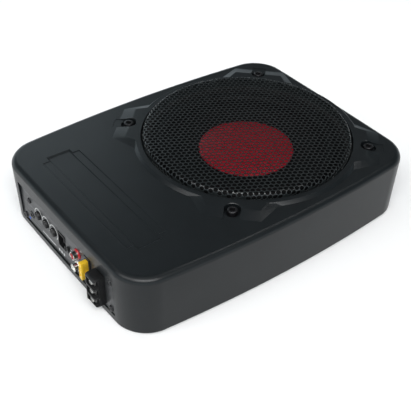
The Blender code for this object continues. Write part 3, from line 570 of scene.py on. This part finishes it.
def badge_step(half_width, half_length, depth):
    """The cutter for one step of the badge recess, with sloped sides."""
    rings = []
    for grow, z in ((-BADGE_SLOPE * depth, TOP_Z - depth), (0.0, TOP_Z), (0.0, ABOVE)):
        w = half_width + grow
        h = half_length + grow
        signs = ((-1, -1), (1, -1), (1, 1), (-1, 1))
        rings.append([(BADGE_X + sx * w, BADGE_Y + sy * h, z) for sx, sy in signs])
    return loft(rings)


def build_housing():
    body = shaped(outer_shell(), ("UNION", deck()))
    body = cut(body, hollow())
    body = cut(body, driver_opening())
    body = cut(body, end_opening())
    body = cut(body, *[notch(corner) for corner in PAD_AT])
    bosses = [rod(at.x, at.y, (COUNTERBORE_Z - 4.0, COUNTERBORE_Z + 1.0), BOSS_RADIUS, 40) for at in SCREW_AT]
    bores = [counterbore(at) for at in SCREW_AT]
    body = shaped(body, ("UNION", joined(*bosses)), ("DIFFERENCE", joined(*bores)))
    for step in BADGE_STEPS:
        body = cut(body, badge_step(*step))
    shell = piece("housing_shell", body, PLASTIC, stands_for=["housing"], crease=28.0)
    shell.modifiers.new("even_shading", "WEIGHTED_NORMAL").keep_sharp = True


# ---------------------------------------------------------------- grille

def grille_curve(s):
    """Radius, height and slope angle at distance s from the centre, measured along the pressed sheet.

    The sheet is a shallow dome, then a quarter of an ellipse, then an upright skirt.
    """
    lean = 2.0 * GRILLE_RISE / GRILLE_RADIUS ** 2
    flat_end = GRILLE_RADIUS - GRILLE_BEND
    if s <= flat_end:
        return s, GRILLE_TOP - lean / 2.0 * s * s, lean * s
    length = pi / 2.0 * sqrt((GRILLE_BEND ** 2 + GRILLE_DROP ** 2) / 2.0)
    turn = min((s - flat_end) / length, 1.0) * pi / 2.0
    radius = flat_end + GRILLE_BEND * sin(turn)
    height = GRILLE_TOP - lean / 2.0 * flat_end ** 2 - GRILLE_DROP * (1.0 - cos(turn))
    slope = max(lean * flat_end, atan2(GRILLE_DROP * sin(turn), GRILLE_BEND * cos(turn)))
    return radius, height - max(s - flat_end - length, 0.0), slope


def cell_outline(x, y):
    """A hexagonal cell, with a point at each corner and halfway along each side, kept inside the sheet."""
    points = []
    for k in range(HOLE_SIDES):
        radius = HOLE_PITCH / 2.0 / (sqrt(0.75) if k % 2 == 0 else 1.0)
        turn = 2.0 * pi * k / HOLE_SIDES
        px = x + radius * cos(turn)
        py = y + radius * sin(turn)
        shrink = min(1.0, SHEET_RADIUS / hypot(px, py))
        points.append((px * shrink, py * shrink))
    return points


def add_cell(bm, x, y):
    """One cell of the sheet, with its round hole unless the sheet's edge is too near."""
    outer = [bm.verts.new((px, py, 0.0)) for px, py in cell_outline(x, y)]
    if hypot(x, y) > SHEET_RADIUS - HOLE_RADIUS - HOLE_MARGIN:
        bm.faces.new(outer)
        return
    inner = []
    for k in range(HOLE_SIDES):
        turn = 2.0 * pi * k / HOLE_SIDES
        inner.append(bm.verts.new((x + HOLE_RADIUS * cos(turn), y + HOLE_RADIUS * sin(turn), 0.0)))
    for k in range(HOLE_SIDES):
        n = (k + 1) % HOLE_SIDES
        bm.faces.new((outer[k], outer[n], inner[n], inner[k]))


def perforated_sheet():
    """The flat round sheet, made of hexagonal cells."""
    bm = bmesh.new()
    row_step = HOLE_PITCH * sqrt(0.75)
    rows = int(SHEET_RADIUS / row_step) + 2
    for row in range(-rows, rows + 1):
        for column in range(-rows - 2, rows + 3):
            x = row * row_step
            y = (column + (row % 2) / 2.0) * HOLE_PITCH
            if hypot(x, y) <= SHEET_RADIUS:
                add_cell(bm, x, y)
    bmesh.ops.remove_doubles(bm, verts=bm.verts, dist=0.02)
    bmesh.ops.dissolve_degenerate(bm, dist=0.02, edges=bm.edges)
    return bm


def press(bm):
    """Bend the flat sheet to the grille's curve and give it thickness along its own slope."""
    under = {}
    for vert in list(bm.verts):
        s = hypot(vert.co.x, vert.co.y)
        radius, z, turn = grille_curve(s)
        ux, uy = (vert.co.x / s, vert.co.y / s) if s > 0.0 else (1.0, 0.0)
        vert.co = (DRIVER_X + radius * ux, radius * uy, z)
        below = radius - SHEET * sin(turn)
        under[vert] = bm.verts.new((DRIVER_X + below * ux, below * uy, z - SHEET * cos(turn)))
    for edge in [e for e in bm.edges if len(e.link_faces) == 1]:
        first, second = edge.verts
        bm.faces.new((first, second, under[second], under[first]))
    for face in [f for f in bm.faces if all(v in under for v in f.verts)]:
        bm.faces.new([under[v] for v in reversed(face.verts)])


def build_grille():
    """Perforated steel, pressed to a dome whose edge turns down, on a turned foot with a clamped flange."""
    mesh = perforated_sheet()
    press(mesh)
    piece("grille_mesh", mesh, MESH_STEEL, stands_for=["grille"], crease=50.0)
    low = corners("grille")[0].z
    rim = corners("grille")[1].x - DRIVER_X
    foot = low + GRILLE_FOOT
    outline = [(rim, low), (rim, low + SHEET), (GRILLE_RADIUS + 0.9, low + SHEET),
               (GRILLE_RADIUS + 0.3, low + SHEET + 0.6), (GRILLE_RADIUS + 0.3, foot),
               (GRILLE_RADIUS + 0.05, foot + 0.2), (GRILLE_RADIUS + 0.05, low + SHEET),
               (GRILLE_RADIUS - SHEET, low + 0.4), (GRILLE_RADIUS - SHEET, low)]
    piece("grille_flange", lathe(outline, 120, (DRIVER_X, 0.0)), MESH_STEEL)


# ---------------------------------------------------------------- driver

def build_cone():
    """A shallow ribbed cone, plain under the dust cap."""
    low, high = corners("cone")
    reach = high.x - DRIVER_X
    cap_radius = corners("dust_cap")[1].x - DRIVER_X
    neck_z = low.z + 1.2
    face = [(CONE_NECK, neck_z)]
    for k in range(1, 61):
        radius = between(CONE_NECK, reach, k / 60.0)
        height = between(neck_z, high.z, (radius - CONE_NECK) / (reach - CONE_NECK))
        if radius > cap_radius:
            height -= RIB_HALF_DEPTH * (1.0 - cos(2.0 * pi * (radius - cap_radius) / RIB_PITCH))
        face.append((radius, height))
    back = [(radius, height - CONE_SHEET) for radius, height in reversed(face)]
    body = lathe(face + back, 96, (DRIVER_X, 0.0))
    piece("cone_body", body, PAPER, "cone_assembly", ["cone"])


def build_dust_cap():
    """A cap of a sphere with a small rounded edge."""
    low, high = corners("dust_cap")
    cap_radius = high.x - DRIVER_X
    rise = high.z - low.z - 1.0
    sphere = (cap_radius ** 2 + rise ** 2) / (2.0 * rise)
    dome = []
    for k in range(0, 17):
        radius = cap_radius * (1.0 - k / 16.0)
        dome.append((radius, high.z - sphere + sqrt(sphere ** 2 - radius ** 2)))
    dome[0] = (cap_radius, dome[0][1] - 0.1)
    dome.insert(1, (cap_radius - 0.4, dome[0][1] + 0.3))
    back = [(radius, z - CONE_SHEET) for radius, z in reversed(dome)]
    cap = lathe(dome + back, 96, (DRIVER_X, 0.0))
    piece("dust_cap_dome", cap, RED_CAP, "cone_assembly", ["dust_cap"])


def roll_outline():
    """Section of the surround: a half roll between two flat lips."""
    centre = (ROLL_INNER + ROLL_OUTER) / 2.0
    turns = [pi * k / ROLL_STEPS for k in range(ROLL_STEPS + 1)]
    top = [(LIP_OUTER, ROLL_Z - 0.1)]
    top += [(centre + ROLL_RADIUS * cos(turn), ROLL_Z + 6.0 * sin(turn)) for turn in turns]
    top.append((LIP_INNER, ROLL_Z + 1.0))
    under = [(LIP_INNER, ROLL_Z + 0.1), (ROLL_INNER + 0.1, ROLL_Z + 0.1)]
    under += [(centre + (ROLL_RADIUS - ROLL_SHEET) * cos(turn), ROLL_Z - 1.0 + 5.9 * sin(turn))
              for turn in reversed(turns[:-1])]
    under.append((LIP_OUTER, ROLL_Z - 1.3))
    return top + under


def build_surround():
    """The half roll, made in separate sectors."""
    outline = roll_outline()
    for sector in range(SECTORS):
        rings = []
        for k in range(SECTOR_STEPS + 1):
            turn = 2.0 * pi * (sector + k / SECTOR_STEPS) / SECTORS
            rings.append([(DRIVER_X + r * cos(turn), r * sin(turn), z) for r, z in outline])
        made = piece(f"surround_{sector + 1:02d}", loft(rings), SURROUND, None,
                     ["surround"] if sector == 0 else (), 60.0)
        turn = 2.0 * pi * (sector + 0.5) / SECTORS
        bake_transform(made)


def build_cap_screws():
    """Socket-head screws with a knurled head and a chamfered hex."""
    seat = COUNTERBORE_Z + GAP
    for number, at in enumerate(SCREW_AT, 1):
        low, high = corners(f"cap_screw_{number}")
        head = high.x - at.x
        outline = [(0.0, low.z), (SHANK_RADIUS - 0.25, low.z), (SHANK_RADIUS, low.z + 0.4),
                   (SHANK_RADIUS, seat), (head - 0.3, seat), (head, seat + 0.3), (head, high.z - 0.9),
                   (head - 0.15, high.z - 0.5), (head - 0.55, high.z - 0.1), (head - 0.9, high.z),
                   (0.0, high.z)]
        screw = lathe(outline, 64, (at.x, at.y), (5, 6), 0.22)
        wide = HEX_RADIUS + 0.3
        levels = ((HEX_RADIUS, high.z - HEX_DEPTH), (HEX_RADIUS, high.z - 0.25), (wide, high.z + 0.1),
                  (wide, high.z + 1.0))
        socket = loft([[(at.x + r * cos(k * pi / 3.0), at.y + r * sin(k * pi / 3.0), z) for k in range(6)]
                       for r, z in levels])
        piece(f"socket_screw_{number}", cut(screw, socket), BLACK_STEEL, "root", [f"cap_screw_{number}"])


# ---------------------------------------------------------------- end panel

def cross_cutter(x, y, z, arm):
    """A plus-shaped prism along X that narrows towards its bottom."""
    h = CROSS_HALF
    rings = []
    for scale, at in ((1.0, x[0]), (1.0, between(*x, 0.6)), (0.7, x[1])):
        a = arm * scale
        points = ((h, h), (h, a), (-h, a), (-h, h), (-a, h), (-a, -h), (-h, -h), (-h, -a), (h, -a), (h, -h),
                  (a, -h), (a, h))
        rings.append([(at, y + dy, z + dz) for dy, dz in points])
    return loft(rings)


def pan_head(x, y, z, radius, height, shank, length):
    """A cross-head screw along X, its seat at x, its head towards -X and its shank towards +X."""
    outline = [(0.0, x - height), (radius * 0.55, x - height), (radius * 0.85, x - height * 0.8),
               (radius, x - height * 0.4), (radius, x), (shank, x), (shank, x + length - shank * 0.6),
               (shank * 0.4, x + length), (0.0, x + length)]
    cross = cross_cutter((x - height - 1.0, x - height * 0.35), y, z, radius * 0.55)
    return cut(lathe_x(outline, y, z), cross)


def arc_mark(y, z):
    """The printed arc round a knob, open at the bottom."""
    turns = [radians(ARC_HALF_ANGLE * (2.0 * k / ARC_STEPS - 1.0)) for k in range(ARC_STEPS + 1)]
    inner = ARC_RADIUS - ARC_WIDTH / 2.0
    outer = ARC_RADIUS + ARC_WIDTH / 2.0
    ring = [(y - inner * sin(turn), z + inner * cos(turn)) for turn in turns]
    ring += [(y - outer * sin(turn), z + outer * cos(turn)) for turn in reversed(turns)]
    return loft([[(x, py, pz) for py, pz in ring] for x in PRINT_X])


def bar_mark(y, z, width, height):
    return block(PRINT_X, (y - width / 2.0, y + width / 2.0), (z - height / 2.0, z + height / 2.0))


def panel_holes():
    """Cutters for the openings that the panel's fittings pass through."""
    holes = [rod_x(THROUGH_PANEL, middle(f"knob_{n}").y, middle(f"knob_{n}").z, 4.9) for n in (1, 2, 3)]
    holes.append(rod_x(THROUGH_PANEL, middle("remote_jack").y, JACK_Z, 4.3))
    lamp = middle("power_led")
    holes.append(rod_x(THROUGH_PANEL, lamp.y, lamp.z, 1.8, 20))
    for name in ("rca_jack_red", "rca_jack_white"):
        holes.append(rod_x(THROUGH_PANEL, middle(name).y, middle(name).z, 5.8))
    for name in ("high_level_socket", "fuse_holder"):
        low, high = corners(name)
        holes.append(block(THROUGH_PANEL, (low.y - GAP, high.y + GAP), (low.z - GAP, high.z + GAP)))
    low, high = corners("phase_switch")
    holes.append(block(THROUGH_PANEL, (low.y - 0.4, high.y + 0.4), (low.z - 4.8, high.z + 0.4)))
    return holes


def panel_marks():
    """Printed arcs round the knobs, a bar and three dots below them, and two bars beside the switch."""
    marks = [arc_mark(middle(f"knob_{n}").y, middle(f"knob_{n}").z) for n in (1, 2, 3)]
    first = middle("knob_1").y
    last = middle("knob_3").y
    marks.append(bar_mark((first + last) / 2.0 - 3.0, MARK_Z, 26.0, 1.0))
    marks += [bar_mark(last - 8.0 - 4.5 * k, MARK_Z, 2.4, 2.8) for k in range(3)]
    low, high = corners("phase_switch")
    marks += [bar_mark(low.y - 3.4, end, 2.2, 0.6) for end in (low.z - 4.4, high.z)]
    return marks


def build_panel():
    plate = block((PANEL_FACE, PANEL_BACK), (PANEL_LOW.y, PANEL_HIGH.y), (PANEL_LOW.z, PANEL_HIGH.z), 0.35)
    piece("panel_plate", cut(plate, *panel_holes()), PLATE, "root", ["end_panel"])
    piece("panel_print", joined(*panel_marks()), PRINT, "root")
    seat = PANEL_FACE - 0.05
    for number in (1, 2, 3, 4):
        name = f"panel_screw_{number}"
        low, high = corners(name)
        at = middle(name)
        screw = pan_head(seat, at.y, at.z, high.y - at.y, seat - low.x, 1.35, high.x - PANEL_FACE)
        piece(f"plate_screw_{number}", screw, BLACK_STEEL, "root", [name])


def build_knob(number):
    """A fluted knob with a slot from its middle to its rim, and a pale pointer in the slot."""
    body = f"knob_{number}"
    low, high = corners(body)
    at = middle(body)
    r = high.y - at.y
    outline = [(0.0, low.x), (r - 1.1, low.x), (r - 0.5, low.x + 0.25), (r, low.x + 0.9),
               (r, PANEL_BACK - 0.4), (3.0, PANEL_BACK - 0.1), (3.0, high.x), (0.0, high.x)]
    knob = lathe_x(outline, at.y, at.z, 48, (3, 4), 0.28)
    slot = block((low.x - 2.0, low.x + 1.1), (at.y - 0.5, at.y + 0.5), (at.z - 0.2, at.z + 7.0))
    piece(f"knob_cap_{number}", cut(knob, slot), MOULDING, body, [body])
    line = block((low.x + 0.95, low.x + 1.2), (at.y - 0.45, at.y + 0.45), (at.z - 0.1, at.z + r - 0.35))
    piece(f"knob_pointer_{number}", line, PRINT, body, ())


def build_slide():
    """The slide switch's lever, with three grip grooves."""
    low, high = corners("phase_switch")
    z = middle("phase_switch").z
    lever = block((low.x, high.x), (low.y, high.y), (low.z, high.z), 0.3)
    grooves = []
    for rise in (-1.0, 0.0, 1.0):
        span = (z + rise - 0.25, z + rise + 0.25)
        grooves.append(block((low.x - 1.0, low.x + 0.35), (low.y - 1.0, high.y + 1.0), span))
    lever = cut(lever, *grooves)
    piece("slide_lever", lever, MOULDING, "phase_switch", ["phase_switch"])


def build_remote_jack():
    """Its body behind the panel, and a turned collar with a dark ring in front."""
    low, high = corners("remote_jack")
    y = middle("remote_jack").y
    back = PANEL_BACK + GAP
    body = block((back, high.x), (low.y, high.y), (low.z, high.z), 0.5)
    body = cut(body, rod_x((PANEL_BACK - 1.0, high.x - 2.0), y, JACK_Z, JACK_BORE))
    collar = lathe_x([(JACK_BORE, low.x), (3.7, low.x), (4.0, low.x + 0.3), (4.0, back), (JACK_BORE, back)],
                     y, JACK_Z, 40)
    piece("remote_socket", joined(body, collar), MOULDING, "root", ["remote_jack"])
    front = low.x - 0.15
    outline = [(JACK_BORE, front), (3.0, front), (3.2, front + 0.2), (JACK_BORE, front + 0.2)]
    ring = lathe_x(outline, y, JACK_Z, 40)
    piece("remote_ring", ring, BLACK_STEEL, "root", ())


def build_lamp():
    low, high = corners("power_led")
    at = middle("power_led")
    outline = [(0.0, low.x), (0.6, low.x + 0.08), (1.1, low.x + 0.3), (1.5, low.x + 0.8), (1.5, high.x),
               (0.0, high.x)]
    piece("led_lens", lathe_x(outline, at.y, at.z, 24), LENS, "root", ["power_led"])


def build_input_socket():
    """High-level input: a keyed box with two rows of pins."""
    low, high = corners("high_level_socket")
    at = middle("high_level_socket")
    shell = block((low.x, high.x), (low.y, high.y), (low.z, high.z), 0.5)
    inside = block((low.x - 4.0, high.x - 3.0), (low.y + 1.3, high.y - 1.3), (low.z + 1.3, high.z - 1.3), 0.3)
    key = block((low.x - 4.0, low.x + 4.5), (low.y - 1.0, low.y + 2.0), (at.z - 2.0, at.z + 2.0))
    shell = cut(cut(shell, inside), key)
    piece("input_socket", shell, MOULDING, "root", ["high_level_socket"])
    pins = []
    for dy in (-2.6, 2.6):
        for dz in (-4.8, -1.6, 1.6, 4.8):
            pins.append(block_at((low.x + 9.5, at.y + dy, at.z + dz), (9.0, 0.9, 0.9), 0.2))
    piece("input_pins", joined(*pins), ZINC, "root", ())


def build_phono_jack(colour, made):
    """A coloured collar, a nickel barrel and a coloured core, on one line along X."""
    name = f"rca_jack_{colour}"
    low, high = corners(name)
    at = middle(name)
    collar = [(4.2, high.x), (5.3, high.x), (5.3, PANEL_FACE - 0.4), (4.9, PANEL_FACE - 0.9),
              (4.7, PANEL_FACE - 1.6), (4.2, PANEL_FACE - 1.6)]
    piece(f"rca_collar_{colour}", lathe_x(collar, at.y, at.z, 48), made, "root", [name])
    barrel = [(3.5, low.x + 0.3), (3.8, low.x), (4.1, low.x + 0.3), (4.1, high.x), (3.5, high.x)]
    piece(f"rca_barrel_{colour}", lathe_x(barrel, at.y, at.z, 48), NICKEL, "root", ())
    core = [(1.7, low.x + 1.2), (2.0, low.x + 0.9), (3.2, low.x + 0.9), (3.4, low.x + 1.2), (3.4, high.x),
            (1.7, high.x)]
    piece(f"rca_core_{colour}", lathe_x(core, at.y, at.z, 40), made, "root", ())


def build_fuse_holder():
    low, high = corners("fuse_holder")
    rim = block((low.x, high.x), (low.y, high.y), (low.z, high.z), 0.5)
    well = block((low.x - 4.0, high.x - 3.0), (low.y + 1.6, high.y - 1.6), (low.z + 2.6, high.z - 2.6), 0.3)
    piece("fuse_seat", cut(rim, well), MOULDING, "root", ["fuse_holder"])


def build_fuse():
    """A blade fuse: a wide head, two legs with a web between them, and a blade in each leg."""
    low, high = corners("fuse")
    at = middle("fuse")
    leg_top = low.x + 2.2
    leg_end = low.x + 9.5
    body = block((low.x, low.x + 2.8), (low.y, high.y), (low.z, high.z), 0.45)
    for z in (at.z - FUSE_LEG, at.z + FUSE_LEG):
        leg = block((leg_top, leg_end), (low.y + 0.15, high.y - 0.15), (z - 3.3, z + 3.3), 0.3)
        body = shaped(body, ("UNION", leg))
    web = block((leg_top, leg_end), (at.y - 0.9, at.y + 0.9), (at.z - 4.0, at.z + 4.0))
    body = shaped(body, ("UNION", web))
    dent = block((low.x - 1.0, low.x + 0.5), (at.y - 1.3, at.y + 1.3), (at.z - 5.5, at.z + 5.5), 0.2)
    piece("fuse_body", cut(body, dent), AMBER, "fuse", ["fuse"])
    blades = [block((leg_end - 0.5, high.x), (at.y - 0.4, at.y + 0.4), (z - 2.5, z + 2.5), 0.15)
              for z in (at.z - FUSE_LEG, at.z + FUSE_LEG)]
    piece("fuse_blades", joined(*blades), ZINC, "fuse", ())


def build_terminal_strip():
    """A moulded strip, chamfered at the top and bottom of its front, with an open well for each clamp."""
    low, high = corners("terminal_block")
    y = middle("clamp_1").y
    outline = ((high.x, low.z), (high.x, high.z), (low.x + 1.5, high.z), (low.x, high.z - 1.5),
               (low.x, low.z + 3.0), (low.x + 3.0, low.z))
    strip = loft([[(x, end, z) for x, z in outline] for end in (low.y, high.y)])
    bmesh.ops.recalc_face_normals(strip, faces=strip.faces)
    bmesh.ops.bevel(strip, geom=list(strip.edges), offset=0.5, segments=2, profile=0.5, affect="EDGES")
    levels = [middle(f"clamp_{number}").z for number in (1, 2, 3)]
    wells = [block((low.x - 3.0, high.x - 6.0), (low.y - 3.0, high.y - 1.5), (z - 4.2, z + 4.2), 0.4)
             for z in levels]
    strip = cut(strip, *wells)
    strip = cut(strip, *[rod_x((high.x - 10.0, high.x + 3.0), y, z, 2.4, 24) for z in levels])
    piece("terminal_strip", strip, MOULDING, "root", ["terminal_block"])


def build_clamp(number):
    """A flat plate with a lip along each side, and the screw through it."""
    body = f"clamp_{number}"
    low, high = corners(body)
    at = middle(body)
    seat = low.x - GAP
    plate = block((low.x, high.x), (low.y, high.y), (low.z, high.z), 0.2)
    for y in (low.y + 0.05, high.y - 0.85):
        lip = block((low.x - 0.9, high.x - 0.2), (y, y + 0.8), (low.z + 0.3, high.z - 0.3), 0.2)
        plate = shaped(plate, ("UNION", lip))
    plate = cut(plate, rod_x((low.x - 3.0, high.x + 3.0), at.y, at.z, 2.3, 24))
    piece(f"wire_clamp_{number}", plate, ZINC, body, [body])
    body = f"terminal_screw_{number}"
    low, high = corners(body)
    at = middle(body)
    screw = pan_head(seat, at.y, at.z, high.y - at.y, seat - low.x, 2.0, high.x - seat)
    piece(f"clamp_screw_{number}", screw, ZINC, body, [body])


def build_fittings():
    """Everything that stands on the end panel."""
    for number in (1, 2, 3):
        build_knob(number)
    build_slide()
    build_remote_jack()
    build_lamp()
    build_input_socket()
    build_phono_jack("red", RED)
    build_phono_jack("white", WHITE)
    build_fuse_holder()
    build_fuse()
    build_terminal_strip()
    for number in (1, 2, 3):
        build_clamp(number)


# ---------------------------------------------------------------- base

def build_base_plate():
    """A plate with rounded edges and three pressed stiffening channels between the feet."""
    inset = HALF_LENGTH - corners("base_plate")[1].x
    plate = loft([box_outline(BASE_BOTTOM, inset + 0.5), box_outline(BASE_BOTTOM + 0.4, inset),
                  box_outline(BASE_TOP - 0.3, inset), box_outline(BASE_TOP, inset + 0.3)])
    channels = [block((-92.0, 92.0), (y - 5.0, y + 5.0), (BASE_BOTTOM - 3.0, BASE_BOTTOM + 0.7), 0.6)
                for y in (-55.0, 0.0, 55.0)]
    piece("base_pan", cut(plate, *channels), PAINTED, "root", ["base_plate"])


def build_base_screw(number):
    """A cross-head screw that comes up through the plate, with a pointed end."""
    name = f"base_screw_{number}"
    low, high = corners(name)
    at = middle(name)
    head = high.x - at.x
    seat = BASE_BOTTOM - 0.2
    outline = [(0.0, low.z), (head * 0.55, low.z), (head * 0.85, low.z + 0.35), (head, low.z + 0.9),
               (head, seat), (1.5, seat), (1.5, high.z - 1.0), (0.5, high.z), (0.0, high.z)]
    screw = lathe(outline, 32, (at.x, at.y))
    for size in ((4.0, 0.8, 1.8), (0.8, 4.0, 1.8)):
        screw = cut(screw, block_at((at.x, at.y, low.z), size))
    piece(f"pan_screw_{number}", screw, ZINC, "root", [name])


def build_foot(number):
    """A rubber foot, hollow in the middle of its underside and with a groove round that."""
    name = f"foot_{number}"
    high = corners(name)[1]
    at = middle(name)
    r = high.x - at.x
    outline = [(0.0, 0.5), (3.0, 0.5), (3.5, 0.0), (5.0, 0.0), (5.4, 0.5), (6.4, 0.5), (6.8, 0.0),
               (r - 1.4, 0.0), (r - 0.8, 0.4), (r, high.z - 0.5), (r - 0.2, high.z), (0.0, high.z)]
    piece(f"rubber_foot_{number}", lathe(outline, 48, (at.x, at.y)), RUBBER, "root", [name])


def build_base():
    build_base_plate()
    for number in (1, 2, 3, 4):
        build_base_screw(number)
        build_foot(number)


# ---------------------------------------------------------------- stage

def build_floor():
    bm = bmesh.new()
    bmesh.ops.create_grid(bm, x_segments=8, y_segments=8, size=4.0)
    mesh = bpy.data.meshes.new("floor")
    bm.to_mesh(mesh)
    bm.free()
    mesh.materials.append(FLOOR_PAPER)
    floor = bpy.data.objects.new("floor", mesh)
    floor.location.z = -0.5 * MM
    bpy.context.scene.collection.objects.link(floor)


def build_world():
    """A studio sweep, bright near the horizon, dim overhead and dimmer towards +X."""
    world = bpy.data.worlds.new("studio")
    world.use_nodes = True
    tree = world.node_tree
    background = tree.nodes["Background"]
    background.inputs["Color"].default_value = (0.80, 0.93, 1.0, 1.0)
    split = add_node(tree, "ShaderNodeSeparateXYZ")
    tree.links.new(add_node(tree, "ShaderNodeTexCoord").outputs["Generated"], split.inputs["Vector"])
    glow = remap(tree, split.outputs["Z"], 0.08, 0.29, 1.7, 0.07)
    side = remap(tree, split.outputs["X"], 0.30, 0.64, 1.3, 0.55)
    both = add_node(tree, "ShaderNodeMath", operation="MULTIPLY")
    tree.links.new(glow, both.inputs[0])
    tree.links.new(side, both.inputs[1])
    tree.links.new(both.outputs["Value"], background.inputs["Strength"])
    bpy.context.scene.world = world


def area_light(name, place, aim, size, power, colour=(1.0, 1.0, 1.0), spread=180.0):
    """A rectangular softbox: place and aim in metres, size in metres, power in watts, spread in degrees."""
    lamp = bpy.data.lights.new(name, "AREA")
    lamp.spread = radians(spread)
    lamp.shape = "RECTANGLE"
    lamp.size, lamp.size_y = size
    lamp.energy = power
    lamp.color = colour
    made = bpy.data.objects.new(name, lamp)
    made.location = place
    made.rotation_mode = "QUATERNION"
    made.rotation_quaternion = (Vector(aim) - Vector(place)).to_track_quat("-Z", "Y")
    bpy.context.scene.collection.objects.link(made)


def build_lights():
    """One large key light, and small softboxes that the slopes and rounded edges mirror."""
    area_light("key", (-2.3, -3.0, 4.95), (0.0, 0.0, 0.0), (5.0, 2.2), 400.0)
    area_light("front", (0.15, -1.65, 1.6), (0.0, 0.0, 0.0), (1.0, 0.7), 4.0)
    area_light("left", (-1.27, 0.09, 1.27), (-0.05, 0.0, 0.05), (0.7, 0.7), 7.5)
    area_light("back", (0.45, 1.8, 1.15), (0.0, 0.0, 0.05), (0.9, 0.6), 3.2, (0.82, 0.94, 1.0))
    area_light("top", (-0.1, -0.15, 2.4), (-0.1, -0.15, 0.0), (0.9, 0.9), 2.4)
    area_light("far side", (-0.60, 1.12, 1.83), (0.0, 0.0, 0.06), (0.4, 0.4), 1.2)
    area_light("right", (0.97, 0.0, 2.0), (0.05, -0.08, 0.06), (0.4, 0.35), 3.6)
    area_light("sheen", (1.58, 1.235, 1.575), (0.1, -0.1, 0.07), (0.9, 0.7), 0.42)
    area_light("right low", (1.37, -0.45, 1.66), (0.0, -0.1, 0.06), (0.35, 0.35), 0.9)
    area_light("far floor", (0.40, 0.55, 1.6), (0.38, 0.52, 0.0), (0.9, 0.9), 0.4, spread=30.0)


def build_camera():
    camera = bpy.data.cameras.new("camera")
    camera.lens = LENS_LENGTH
    camera.shift_y = LENS_SHIFT
    ahead = Vector(VIEW_AHEAD).normalized()
    right = Vector(VIEW_RIGHT)
    right = (right - right.dot(ahead) * ahead).normalized()
    turn = Matrix((right, right.cross(ahead), -ahead)).transposed()
    viewer = bpy.data.objects.new("camera", camera)
    viewer.matrix_world = Matrix.Translation(ORIGIN + MM * Vector(VIEW_FROM)) @ turn.to_4x4()
    bpy.context.scene.collection.objects.link(viewer)
    bpy.context.scene.camera = viewer
    bpy.context.scene.view_settings.view_transform = "Standard"


build_housing()
build_grille()
build_cone()
build_dust_cap()
build_surround()
build_cap_screws()
build_panel()
build_fittings()
build_base()
paint_inside()
build_floor()
build_world()
build_lights()
build_camera()
